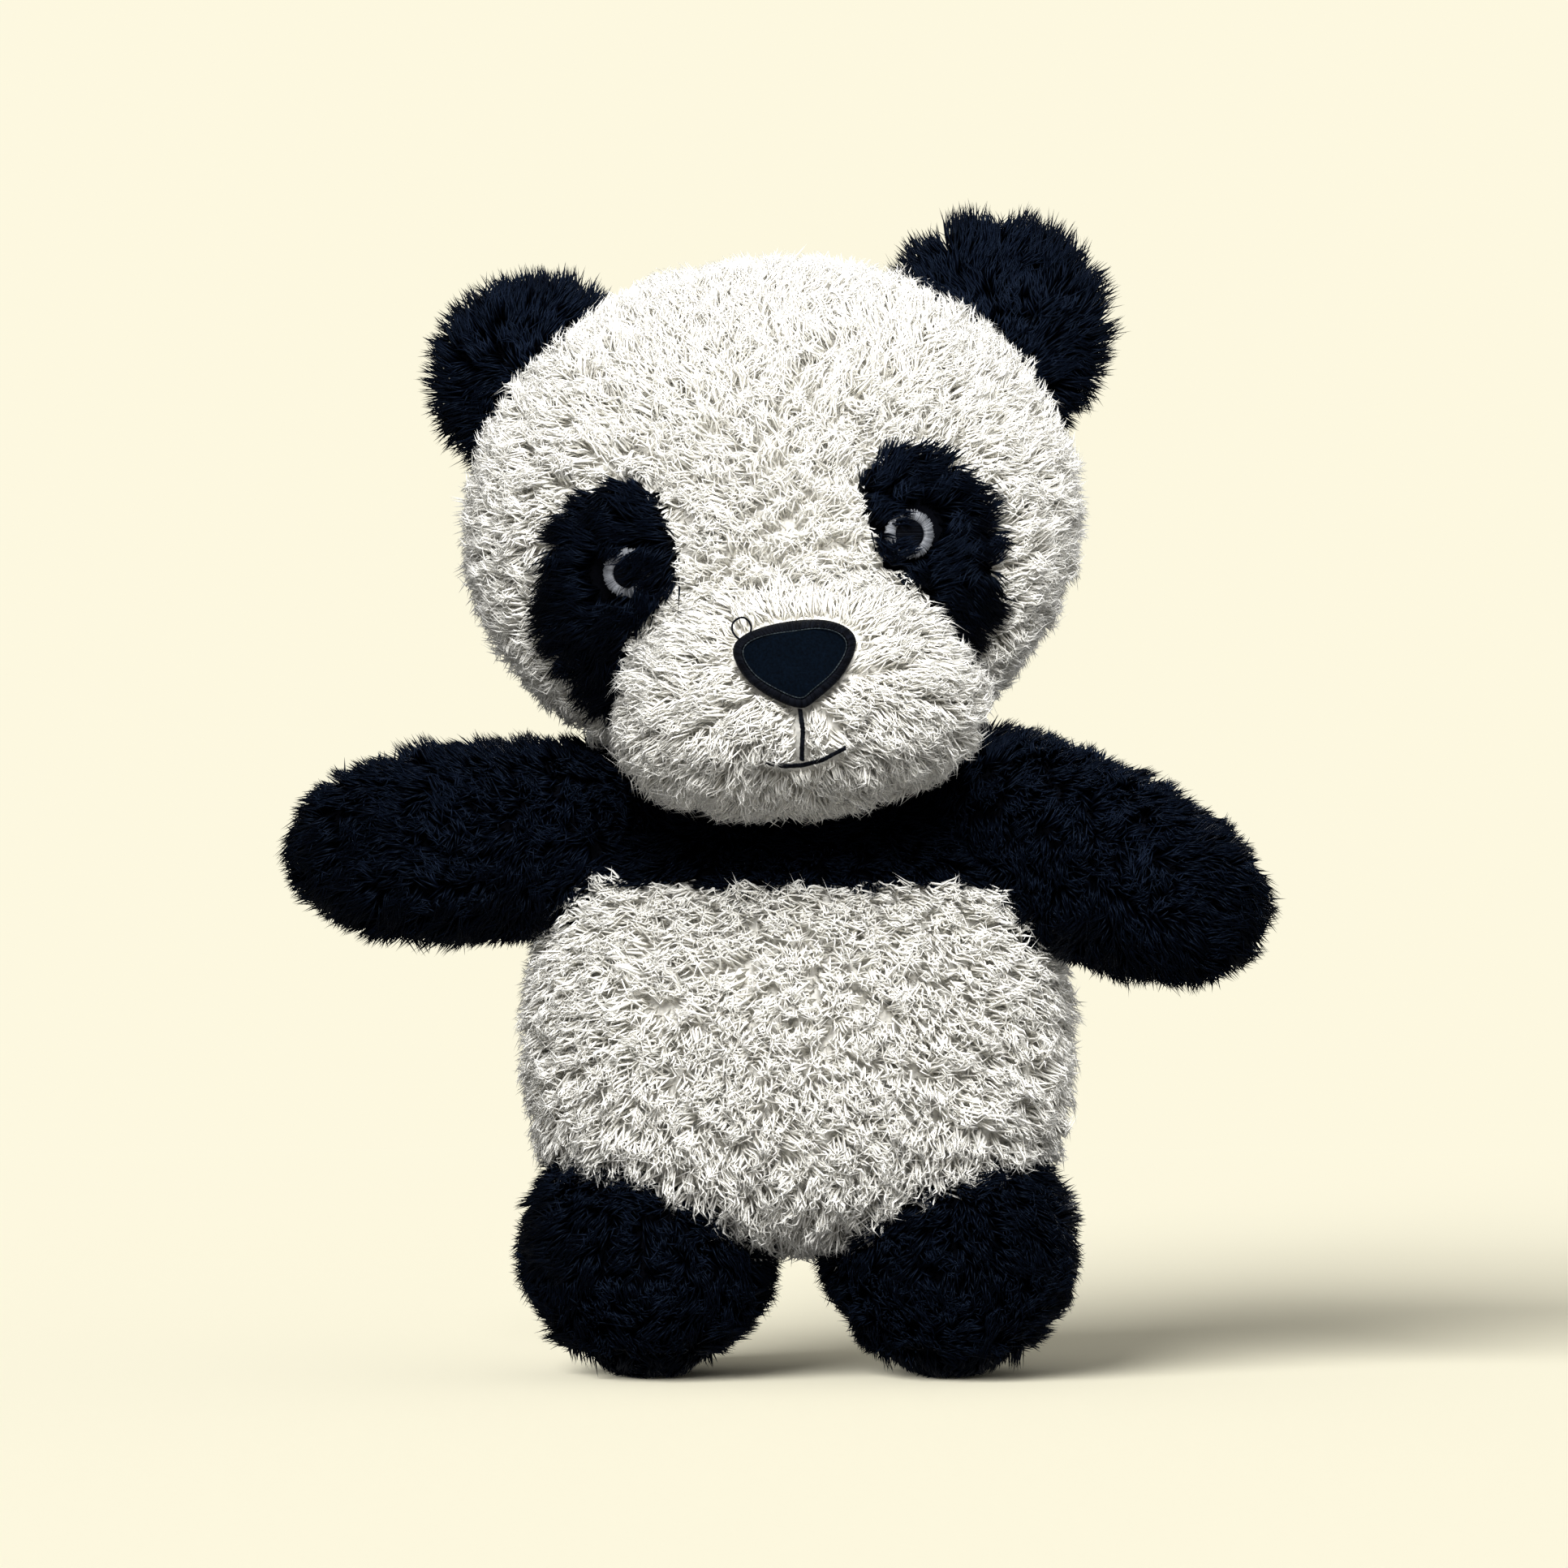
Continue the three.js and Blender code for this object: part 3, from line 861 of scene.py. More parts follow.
@dataclass
class Pile:
    """How a stretch of pile grows: its locks' size, lie, tufts and curl.

    Rise is the lean from upright at the root and at the tip, in degrees, wander how far a tuft
    turns from the comb, gather how far its tips draw together, and uneven how much lengths differ.
    """

    finish: Finish
    per_mm2: float
    length: float
    width: float
    comb: Comb
    shape: LockShape
    rise: tuple[float, float] = (72, 22)
    tuft: float = 3.4 * MM
    gather: float = 0.38
    wander: float = 35
    curl: float = 0.35
    uneven: float = 0.22
    trim: Callable[[Array], Array] | None = None

    def locks(self, roots: Roots, rng: np.random.Generator) -> tuple[Array, Array, Array]:
        """Grows a lock at every root.

        Args:
            roots: where the locks stand.
            rng: the seeded generator.

        Returns:
            The vertices of all locks (lock, vertex, axis), and how far along its
            lock and how bright each vertex is.
        """
        count = len(roots.place)
        tufts = self._tufts(roots, rng)
        turn, lean, size = (values[tufts] for values in self._tuft_habits(roots, tufts, rng))
        turn = turn + np.radians(rng.normal(0, self.wander * 0.4, count))
        along = self._laid(roots, turn)
        side = np.cross(roots.normal, along)
        length = self.length * size * rng.uniform(1 - self.uneven, 1 + self.uneven, count)
        if self.trim is not None:
            length = length * self.trim(roots.place)
        first = np.radians(np.clip(self.rise[0] + lean + rng.normal(0, 8, count), 25, 88))
        last = np.radians(np.clip(self.rise[1] + lean + rng.normal(0, 12, count), -8, 80))
        curl = self.curl * rng.normal(0, 1, count)
        frame_of = (roots, along, side, length, first, last, curl)
        tips = self._spine(1.0, *frame_of)
        middle = np.zeros((tufts.max() + 1, 3))
        np.add.at(middle, tufts, tips)
        middle /= np.bincount(tufts, minlength=len(middle))[:, None].clip(1)
        pull = (middle[tufts] - tips) * self.gather
        half = (self.width / 2 * rng.uniform(0.75, 1.25, count))[:, None]
        verts = np.empty((count, len(self.shape.verts), 3))
        for k, (x, y, t) in enumerate(self.shape.verts):
            angle = first + (last - first) * t
            up = np.cos(angle)[:, None] * roots.normal - np.sin(angle)[:, None] * along
            centre = self._spine(t, *frame_of) + pull * t**1.6
            verts[:, k] = centre + half * (x * side + 0.6 * y * up)
        tone = np.repeat(rng.random(count), len(self.shape.verts))
        far = np.tile(self.shape.verts[:, 2], count)
        return verts, far, tone

    def _tufts(self, roots: Roots, rng: np.random.Generator) -> Array:
        """Gathers the roots into tufts.

        Args:
            roots: where the locks stand.
            rng: the seeded generator.

        Returns:
            The number of each root's tuft.
        """
        count = len(roots.place)
        spread = self.per_mm2 * (self.tuft / MM) ** 2
        seeds = rng.permutation(count)[: max(1, int(count / max(spread, 1)))]
        tree = KDTree(len(seeds))
        for i, seed in enumerate(seeds):
            tree.insert(roots.place[seed], i)
        tree.balance()
        return np.array([tree.find(place)[1] for place in roots.place])

    def _tuft_habits(
        self, roots: Roots, tufts: Array, rng: np.random.Generator,
    ) -> tuple[Array, Array, Array]:
        """Gives each tuft a habit of its own.

        Args:
            roots: where the locks stand.
            tufts: the number of each root's tuft.
            rng: the seeded generator.

        Returns:
            Each tuft's turn from the comb, its lean in degrees, and its share of the length.
        """
        count = int(tufts.max()) + 1
        centre = np.zeros((count, 3))
        np.add.at(centre, tufts, roots.place)
        centre /= np.bincount(tufts, minlength=count)[:, None].clip(1)
        drift = np.array([noise.noise(Vector(c) * 45) for c in centre])
        turn = np.radians(self.wander * (1.6 * drift + rng.normal(0, 0.8, count)))
        return turn, rng.normal(0, 9, count), rng.uniform(0.86, 1.12, count)

    def _laid(self, roots: Roots, turn: Array) -> Array:
        """Lays the comb's directions on the surface.

        Args:
            roots: where the locks stand.
            turn: how far each is turned from the comb, in radians.

        Returns:
            A direction on the surface for each root.
        """
        wanted = self.comb(roots.place, roots.normal)
        flat = wanted - (wanted * roots.normal).sum(1, keepdims=True) * roots.normal
        weak = np.linalg.norm(flat, axis=1) < 1e-4
        flat[weak] = np.cross(roots.normal[weak], (0.3, 0.8, 0.5))
        flat = unit(flat)
        across = np.cross(roots.normal, flat)
        return np.cos(turn)[:, None] * flat + np.sin(turn)[:, None] * across

    def _spine(
        self, t: float, roots: Roots, along: Array, side: Array, length: Array,
        first: Array, last: Array, curl: Array,
    ) -> Array:
        """Finds a point on every lock's bent middle line.

        Args:
            t: how far along the lock, from 0 to 1.
            roots: where the locks stand.
            along: which way each lies on the surface.
            side: the way across it.
            length: its length.
            first: its lean from upright at the root, in radians.
            last: its lean at the tip.
            curl: how far it sways to the side, as a share of its length.

        Returns:
            The points, as rows.
        """
        bend = last - first
        bend = np.where(np.abs(bend) < 1e-3, 1e-3, bend)
        angle = first + bend * t
        rise = (np.cos(first) - np.cos(angle)) / bend
        run = (np.sin(angle) - np.sin(first)) / bend
        sway = curl * (t * t + 0.35 * math.sin(2 * math.pi * t))
        lift = rise[:, None] * roots.normal + run[:, None] * along + sway[:, None] * side
        return roots.place + length[:, None] * lift

    def piece(self, name: str, roots: Roots, rng: np.random.Generator) -> bpy.types.Object:
        """Makes one panel's pile as a mesh of locks.

        Args:
            name: the piece's name.
            roots: where its locks stand.
            rng: the seeded generator.

        Returns:
            The dressed piece, not yet riding on a body.
        """
        verts, along, tone = self.locks(roots, rng)
        verts[:, :, 2] = np.maximum(verts[:, :, 2], OVER_FLOOR)
        mesh = copies(name, verts, self.shape.faces)
        store(mesh, "along", along)
        store(mesh, "tone", tone)
        self._cells(mesh, len(verts))
        mesh.update()
        obj = linked(name, mesh)
        self.finish.dress(obj)
        log.info("%s: %d locks", name, len(verts))
        return obj

    def _cells(self, mesh: bpy.types.Mesh, count: int) -> None:
        """Gives every one of count locks its own small cell of the flat map."""
        grid = math.ceil(math.sqrt(count))
        column, row = np.arange(count) % grid, np.arange(count) // grid
        inner = 0.1 + 0.8 * self.shape.corners
        flat = np.empty((count, len(inner), 2))
        flat[:, :, 0] = (column[:, None] + inner[None, :, 0]) / grid
        flat[:, :, 1] = (row[:, None] + inner[None, :, 1]) / grid
        layer = mesh.uv_layers.new(name="OFBake")
        layer.data.foreach_set("uv", flat.astype(np.float32).ravel())


def under(tree: BVHTree, place: Vector, out: Vector) -> bool:
    """Whether a layer lies over a place, looking out of the cloth from well inside."""
    return tree.ray_cast(place - out * 8 * MM, out, 18 * MM)[0] is not None


@dataclass
class Hold:
    """How a piece is held: attached to one body, or, where a root body is named, left unparented with its
    placement baked into its mesh.
    """

    body: str
    root: str | None = None
    start: Vector | None = None
    end: Vector | None = None

    def fix(self, obj: bpy.types.Object) -> None:
        """Fixes a piece to its body, or, where a root body is named, bakes its placement into its mesh.

        Args:
            obj: the piece.
        """
        if self.root is None:
            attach(obj, self.body)
        else:
            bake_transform(obj)


@dataclass
class Coat:
    """The pile over one form, split into the panels it is sewn from.

    Nothing grows inside the surfaces it is hidden by, nor where the face is bare. Overlays
    are panels that lie over others, and reach is how far off the form a root's panel is sought.
    """

    surface: Surface
    hold: Hold
    piles: dict[str, Pile]
    seed: int
    hidden_by: tuple[Surface, ...] = ()
    margin: float = 0.2 * MM
    bare: Callable[[Array], Array] | None = None
    reach: float = 4.0 * MM
    overlays: tuple[str, ...] = ()

    def grow(self) -> None:
        """Sets roots over the whole form and grows each panel's pile, fixed as its hold says."""
        rng = np.random.default_rng(self.seed)
        densest = max(pile.per_mm2 for pile in self.piles.values())
        place, normal = self.surface.scatter(densest, rng)
        keep = np.ones(len(place), dtype=bool)
        if self.bare is not None:
            keep &= ~self.bare(place)
        for other in self.hidden_by:
            keep &= ~other.holds(place, self.margin)
        place, normal = place[keep], normal[keep]
        roots = Roots(place, normal, self._panels(place + normal * self.reach, normal))
        for number, (panel, pile) in enumerate(self.piles.items()):
            chosen = (roots.panel == number) & (rng.random(len(place)) < pile.per_mm2 / densest)
            if not chosen.any():
                continue
            obj = pile.piece(panel + "_pile", roots.only(chosen), rng)
            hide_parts(panel)
            self.hold.fix(obj)

    def _panels(self, probes: Array, normals: Array) -> Array:
        """Finds the panel that each root belongs to.

        Args:
            probes: points a little off the roots, where the panels are.
            normals: the way out of the form at each.

        Returns:
            The number of the overlay that covers each probe, or else of the nearest panel.
        """
        best = np.full(len(probes), np.inf)
        number = np.zeros(len(probes), dtype=int)
        for k, panel in enumerate(self.piles):
            tree = node_tree(panel)
            if panel in self.overlays:
                lying = [under(tree, Vector(p), Vector(n)) for p, n in zip(probes, normals)]
                best[lying], number[lying] = -1, k
                continue
            away = np.array([tree.find_nearest(Vector(p))[3] for p in probes])
            closer = away < best
            best[closer], number[closer] = away[closer], k
        return number


# ------------------------------------------------------------------------ head


def away_from(point: Vector, extra: tuple[float, float, float] = (0, 0, 0)) -> Comb:
    """A comb that lays pile out from a point, with a steady drift added.

    Args:
        point: where the pile parts.
        extra: the drift, as a share of the pull outwards.

    Returns:
        The comb.
    """
    centre, drift = np.array(point), np.array(extra)

    def comb(place: Array, _normal: Array) -> Array:
        """Directions at the given places."""
        return unit(place - centre) + drift

    return comb


def outwards(point: Vector, low: float, high: float) -> Comb:
    """A comb out from an upright line, turning downwards from one height to another.

    Args:
        point: a point on the line.
        low: the height below which pile lies straight out.
        high: the height above which it lies fully down.

    Returns:
        The comb.
    """
    axis = np.array(point)

    def comb(place: Array, _normal: Array) -> Array:
        """Directions at the given places."""
        lie = place - axis
        lie[:, 2] = 0
        lie = unit(lie)
        lie[:, 2] = -1.2 * np.clip((place[:, 2] - low) / (high - low), 0, 1)
        return lie

    return comb


def towards(direction: tuple[float, float, float]) -> Comb:
    """A comb that lays all pile the same way."""
    lie = np.array(direction, dtype=float)

    def comb(place: Array, _normal: Array) -> Array:
        """The same direction at every place."""
        return np.broadcast_to(lie, place.shape).copy()

    return comb


@dataclass
class HeadFrame:
    """The leaning head's own axes: X to its left, Z up from the top of the neck."""

    lean: float = 6.0

    def matrix(self) -> Matrix:
        """From the head's millimetres to the row frame in metres."""
        turn = Matrix.Rotation(math.radians(-self.lean), 4, "Y")
        return Matrix.Translation(joint_place("neck_turn")) @ turn @ Matrix.Scale(MM, 4)

    def outline(self, points: tuple[tuple[float, float], ...]) -> Array:
        """X and Z in the row frame of points given on the face."""
        matrix = self.matrix()
        placed = [matrix @ Vector((x, 0, z)) for x, z in points]
        return np.array([(p.x, p.z) for p in placed])


def lengths_to(line: Array) -> Array:
    """The length of a line from its start to each of its points."""
    return np.concatenate([[0], np.cumsum(np.linalg.norm(np.diff(line, axis=0), axis=1))])


def at_lengths(line: Array, marks: Array) -> Array:
    """The points at the given lengths along a flat line."""
    steps = lengths_to(line)
    return np.stack([np.interp(marks, steps, line[:, k]) for k in range(2)], axis=1)


def closed(loop: Array) -> Array:
    """The loop with its first point again at its end."""
    return np.vstack([loop, loop[:1]])


def smooth_loop(points: Array, count: int) -> Array:
    """Draws a smooth closed curve through points.

    Args:
        points: the points it goes through, as rows.
        count: how many points it gets.

    Returns:
        Its points, evenly spaced.
    """
    n = len(points)
    fine = []
    for i in range(n):
        p0, p1, p2, p3 = (points[(i + k - 1) % n] for k in range(4))
        for t in np.linspace(0, 1, 12, endpoint=False):
            fine.append(
                0.5 * (2 * p1 + (p2 - p0) * t + (2 * p0 - 5 * p1 + 4 * p2 - p3) * t**2
                       + (3 * p1 - p0 - 3 * p2 + p3) * t**3)
            )
    line = closed(np.array(fine))
    return at_lengths(line, np.linspace(0, lengths_to(line)[-1], count, endpoint=False))


def inside(points: Array, loop: Array) -> Array:
    """Finds the points that lie inside a closed loop.

    Args:
        points: the points, as rows.
        loop: the loop's corners.

    Returns:
        A mask of those inside.
    """
    x, y = points[:, 0], points[:, 1]
    result = np.zeros(len(points), dtype=bool)
    for (x1, y1), (x2, y2) in zip(loop, np.roll(loop, -1, axis=0)):
        crosses = (y1 > y) != (y2 > y)
        at = (x2 - x1) * (y - y1) / (y2 - y1 if abs(y2 - y1) > 1e-12 else 1e-12) + x1
        result ^= crosses & (x < at)
    return result


class StitchShape:
    """One embroidery stitch, a rounded strand modelled once."""

    cuts = [-0.36, 0.0, 0.36]
    taper = 0.45

    def __init__(self) -> None:
        """Models the strand along X, one unit long and one thick."""
        deselect()
        bpy.ops.mesh.primitive_cylinder_add(
            vertices=5, radius=0.5, depth=1, end_fill_type="TRIFAN", rotation=(0, math.pi / 2, 0)
        )
        self.verts, self.faces = cut_to_model(Vector((1, 0, 0)), self.cuts)
        ends = np.abs(self.verts[:, 0]) > 0.45
        self.verts[ends, 1:] *= self.taper

    def sewn(
        self, name: str, starts: Array, ends: Array, thick: float, arch: float, out: Array,
        rng: np.random.Generator,
    ) -> bpy.types.Object:
        """Lays a strand from each start to its end.

        Args:
            name: the piece's name.
            starts: first ends, as rows.
            ends: other ends, as rows.
            thick: the strand's thickness.
            arch: how far its middle stands up.
            out: which way is off the cloth, for each strand.
            rng: the seeded generator.

        Returns:
            One mesh of all the strands.
        """
        run = ends - starts
        length = np.linalg.norm(run, axis=1, keepdims=True)
        lie = run / np.maximum(length, 1e-9)
        side = unit(np.cross(out, lie))
        up = np.cross(lie, side)
        count = len(starts)
        verts = np.empty((count, len(self.verts), 3))
        wide = thick * rng.uniform(0.9, 1.12, (count, 1))
        for k, (x, y, z) in enumerate(self.verts):
            middle = (starts + ends) / 2 + x * run + up * arch * (1 - 4 * x * x)
            verts[:, k] = middle + wide * (y * side + z * up)
        mesh = copies(name, verts, self.faces)
        store(mesh, "tone", np.repeat(rng.random(count), len(self.verts)))
        mesh.update()
        return linked(name, mesh)


def to_line(flat: Array, points: Array) -> tuple[Array, Array]:
    """How far points are from a line, and the way from the line to each.

    Args:
        flat: the points' X and Z.
        points: the line's corners.

    Returns:
        The distances, and unit directions away from the line.
    """
    best = np.full(len(flat), np.inf)
    away = np.zeros_like(flat)
    for a, b in zip(points[:-1], points[1:]):
        share = np.clip(((flat - a) @ (b - a)) / max(float((b - a) @ (b - a)), 1e-12), 0, 1)
        gap = flat - (a + share[:, None] * (b - a))
        far = np.linalg.norm(gap, axis=1)
        closer = far < best
        best[closer], away[closer] = far[closer], gap[closer]
    return best, unit(away)


OPENING_SHIFT = {Side.LEFT: (1.5, 1.4), Side.RIGHT: (-3.0, 0.2)}


@dataclass
class Face:
    """The embroidered features, laid on the head among its pile.

    The lines are X and Z on the head, in millimetres, and the loop's third number is how far
    it stands off the nose. Each stand is how far its stitches lie off the cloth, which is
    about the height of the pile they lie in. The pile parts from an eye in a round opening.
    """

    surface: Surface
    head: HeadFrame
    stitch: StitchShape
    nose_line: tuple[tuple[float, float], ...] = (
        (-12.5, 32.1), (-9.5, 35.8), (-0.8, 37.9), (9.2, 37.6), (15.5, 34.8), (16.9, 30.4),
        (12.8, 23.8), (6.2, 18.9), (2, 17.3), (-4.7, 20.6), (-10.2, 25.8),
    )
    mouth_line: tuple[tuple[float, float], ...] = (
        (-7.3, 5.2), (-3, 3.9), (1.2, 3.7), (6, 4.4), (12, 6.8),
    )
    philtrum_line: tuple[tuple[float, float], ...] = ((2, 16.9), (2.2, 12), (1.6, 8), (1.2, 4.7))
    loop_line: tuple[tuple[float, float, float], ...] = (
        (-9.8, 34.4, 0.0), (-12.0, 36.0, 1.2), (-12.2, 39.2, 1.8), (-9.2, 40.6, 1.8), (-7.2, 38.2, 1.4),
        (-8.2, 35.2, 0.4), (-9.6, 33.8, 0.1),
    )
    border: float = 2.1 * MM
    strand: float = 0.34 * MM
    eye_ring: tuple[float, float] = (3.4 * MM, 6.0 * MM)
    eye_opening: float = 5.5 * MM
    line_opening: float = 1.0 * MM
    parting: float = 5 * MM
    nose_stand: float = 5.0 * MM
    line_stand: float = 3.7 * MM
    eye_stand: float = 3.2 * MM

    def __post_init__(self) -> None:
        """Places the outlines on the face and fits the patches they lie on."""
        self.nose = smooth_loop(self.head.outline(self.nose_line), 240)
        self.mouth = self.head.outline(self.mouth_line)
        self.philtrum = self.head.outline(self.philtrum_line)
        low = np.minimum(self.nose.min(0), self.mouth.min(0)) - 3 * MM
        high = np.maximum(self.nose.max(0), self.mouth.max(0)) + 3 * MM
        self.muzzle = Relief(self.surface, low, high, 4)

    def eye_centre(self, side: Side) -> Array:
        """X and Z of an eye's middle, from its ring in the frame."""
        low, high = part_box(side.of("eye_ring"))
        return np.array(((low.x + high.x) / 2, (low.z + high.z) / 2))

    def on_front(self, place: Array) -> Array:
        """Which places are on the head's front."""
        return place[:, 1] < joint_place("neck_turn").y - 20 * MM

    def bare(self, place: Array) -> Array:
        """Finds where no pile grows: under the nose, the mouth's threads and the eyes.

        Args:
            place: the roots, as rows.

        Returns:
            A mask of the bare ones.
        """
        flat = place[:, [0, 2]]
        bare = inside(flat, self.nose)
        for line in (self.mouth, self.philtrum):
            bare |= to_line(flat, line)[0] < self.line_opening
        for side in Side:
            middle = self.eye_centre(side) + np.array(OPENING_SHIFT[side]) * MM
            bare |= np.linalg.norm(flat - middle, axis=1) < self.eye_opening
        return bare & self.on_front(place)

    def trim(self, place: Array) -> Array:
        """Shortens the pile beside the nose and the mouth.

        Args:
            place: the roots, as rows.

        Returns:
            The share of its length that each lock keeps.
        """
        flat = place[:, [0, 2]]
        keep = np.ones(len(place))
        for line in (self.mouth, self.philtrum):
            keep = np.minimum(keep, 0.34 + to_line(flat, line)[0] / (11 * MM))
        keep = np.minimum(keep, 0.6 + to_line(flat, closed(self.nose))[0] / (10 * MM))
        return np.where(self.on_front(place), keep, 1.0)

    def trim_white(self, place: Array) -> Array:
        """Shortens the white pile also round the eye patches, so their edges show.

        Args:
            place: the roots, as rows.

        Returns:
            The share of its length that each lock keeps.
        """
        keep = self.trim(place)
        trees = [node_tree(side.of("eye_patch")) for side in Side]
        for i in np.flatnonzero(self.on_front(place)):
            far = min(tree.find_nearest(Vector(place[i]))[3] for tree in trees)
            keep[i] = min(keep[i], 0.42 + max(0.0, far - 2.6 * MM) / (10 * MM))
        return keep

    def parted(self, comb: Comb) -> Comb:
        """Turns a comb away from the nose and the mouth.

        Args:
            comb: the comb.

        Returns:
            The comb that parts the pile there.
        """

        def parted(place: Array, normal: Array) -> Array:
            """Directions at the given places."""
            lie = unit(comb(place, normal))
            flat = place[:, [0, 2]]
            for line in (self.mouth, self.philtrum, closed(self.nose)):
                far, away = to_line(flat, line)
                pull = np.clip(1 - far / self.parting, 0, 1) * 2.5 * self.on_front(place)
                lie[:, [0, 2]] += away * pull[:, None]
            return lie

        return parted

    def build(self) -> None:
        """Makes the nose, its border, the loose loop, the mouth and the eyes."""
        rng = np.random.default_rng(71)
        self._nose()
        self._nose_border(rng)
        self._nose_outline(rng)
        self._loop()
        self._line("philtrum_stitch", self.philtrum, 1.2 * MM, rng)
        self._line("mouth_stitch", self.mouth, 1.0 * MM, rng)
        for side in Side:
            self._eye(side, rng)

    def _ready(self, obj: bpy.types.Object, finish: Finish, *nodes: str) -> None:
        """Dresses a face piece and fixes it to the head.

        Args:
            obj: the piece.
            finish: its finish.
            *nodes: the frame's solids it stands for, if there are any.
        """
        finish.dress(obj)
        if nodes:
            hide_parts(*nodes)
        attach(obj, "head")
        log.info("%s: %d faces", obj.name, len(obj.data.polygons))

    def _nose(self) -> None:
        """A felt pad, domed a little and turned down at its edge."""
        loop = self.nose[::5]
        middle = loop.mean(0)
        deselect()
        bpy.ops.mesh.primitive_circle_add(vertices=len(loop), radius=1, fill_type="NGON")
        obj = bpy.context.active_object
        for vert, (x, z) in zip(obj.data.vertices, middle + (loop - middle) * 0.95):
            vert.co = (x, 0, z)
        with editing(obj):
            bpy.ops.mesh.poke()
            bpy.ops.mesh.select_all(action="SELECT")
            bpy.ops.mesh.subdivide(number_cuts=5)
        turn_outwards(obj)
        out = obj.data.polygons[0].normal.y < 0
        half = (loop.max(0) - loop.min(0)) / 2
        for vert in obj.data.vertices:
            flat = (np.array((vert.co.x, vert.co.z)) - middle) / half
            lift = self.nose_stand + 1.2 * MM * (1 - min(1.0, float(flat @ flat)) ** 2)
            vert.co, _ = self.muzzle.spot(vert.co.x, vert.co.z, lift)
        thick = obj.modifiers.new("felt", "SOLIDIFY")
        thick.thickness, thick.offset = 4.4 * MM, -1 if out else 1
        soft = obj.modifiers.new("soft", "SUBSURF")
        soft.levels = soft.render_levels = 1
        apply_modifiers(obj)
        turn_outwards(obj)
        bpy.ops.object.shade_smooth()
        obj.name = obj.data.name = "nose"
        self._ready(obj, Finish.NOSE_FELT, "nose_patch")

    def _strands(
        self, name: str, relief: Relief, pairs: list[tuple[Array, Array, float, float]],
        thick: float, arch: float, rng: np.random.Generator,
    ) -> bpy.types.Object:
        """Sews a strand for each pair of ends.

        Args:
            name: the piece's name.
            relief: the patch they lie on.
            pairs: X and Z of both ends, and how far off the cloth each stands.
            thick: the strands' thickness.
            arch: how far their middles stand up.
            rng: the seeded generator.

        Returns:
            One mesh of all the strands.
        """
        starts, ends, outs = [], [], []
        for first, last, low, high in pairs:
            start, out = relief.spot(first[0], first[1], low)
            starts.append(start)
            ends.append(relief.spot(last[0], last[1], high)[0])
            outs.append(out)
        return self.stitch.sewn(
            name, np.array(starts), np.array(ends), thick, arch, np.array(outs), rng
        )

    def _nose_border(self, rng: np.random.Generator) -> None:
        """Satin strands laid across the nose's edge, side by side all round."""
        inward = unit(self.nose.mean(0) - self.nose)
        low, high = self.nose_stand - 0.5 * MM, self.nose_stand + 0.95 * MM
        pairs = []
        for point, way in zip(self.nose, inward):
            wide = self.border * rng.uniform(0.94, 1.05)
            pairs.append((point, point + way * wide, low, high))
        obj = self._strands("nose_border", self.muzzle, pairs, self.strand * 1.25, 0.42 * MM, rng)
        self._ready(obj, Finish.BLACK_THREAD, "nose_border_stitch")

    def _nose_outline(self, rng: np.random.Generator) -> None:
        """A fine running line just inside the satin border."""
        middle = self.nose.mean(0)
        reach = np.linalg.norm(self.nose - middle, axis=1, keepdims=True)
        line = middle + (self.nose - middle) * (1 - (self.border + 0.35 * MM) / reach)
        stand = self.nose_stand + 1.0 * MM
        corners = line[::3]
        pairs = [(a, b, stand, stand) for a, b in zip(corners, np.roll(corners, -1, axis=0))]
        obj = self._strands("nose_outline", self.muzzle, pairs, 0.3 * MM, 0.08 * MM, rng)
        self._ready(obj, Finish.DARK_THREAD)

    def _loop(self) -> None:
        """The thread end that stands up in a loop beside the nose."""
        curve = bpy.data.curves.new("nose_thread", "CURVE")
        curve.dimensions = "3D"
        curve.bevel_depth, curve.bevel_resolution, curve.resolution_u = 0.26 * MM, 2, 8
        curve.use_fill_caps = True
        spline = curve.splines.new("NURBS")
        spline.points.add(len(self.loop_line) - 1)
        places = self.head.outline(tuple((x, z) for x, z, _ in self.loop_line))
        for point, (x, z), (_, _, out) in zip(spline.points, places, self.loop_line):
            place, _ = self.muzzle.spot(x, z, self.nose_stand + out * MM)
            point.co = (*place, 1)
        spline.use_endpoint_u, spline.order_u = True, 3
        take(linked("nose_thread", curve))
        bpy.ops.object.convert(target="MESH")
        obj = bpy.context.active_object
        with editing(obj):
            bpy.ops.mesh.remove_doubles(threshold=0.01 * MM)
        turn_outwards(obj)
        bpy.ops.object.shade_smooth()
        store(obj.data, "tone", np.full(len(obj.data.vertices), 0.5))
        self._ready(obj, Finish.BLACK_THREAD, "nose_thread_loop")

    def _line(self, node: str, points: Array, wide: float, rng: np.random.Generator) -> None:
        """Sews a line of short strands laid aslant along it.

        Args:
            node: the frame's solid it stands for.
            points: the line's corners, X and Z.
            wide: the line's width.
            rng: the seeded generator.
        """
        line = at_lengths(points, np.arange(0, lengths_to(points)[-1], self.strand * 0.95))
        runs = unit(np.gradient(line, axis=0))
        pairs = []
        for point, run in zip(line, runs):
            across = np.array([-run[1], run[0]]) + 0.35 * run
            half = across * wide / 2 * rng.uniform(0.85, 1.1)
            pairs.append((point - half, point + half, self.line_stand, self.line_stand))
        name = node.replace("_stitch", "_threads")
        obj = self._strands(name, self.muzzle, pairs, self.strand * 1.3, 0.3 * MM, rng)
        self._ready(obj, Finish.BLACK_THREAD, node)

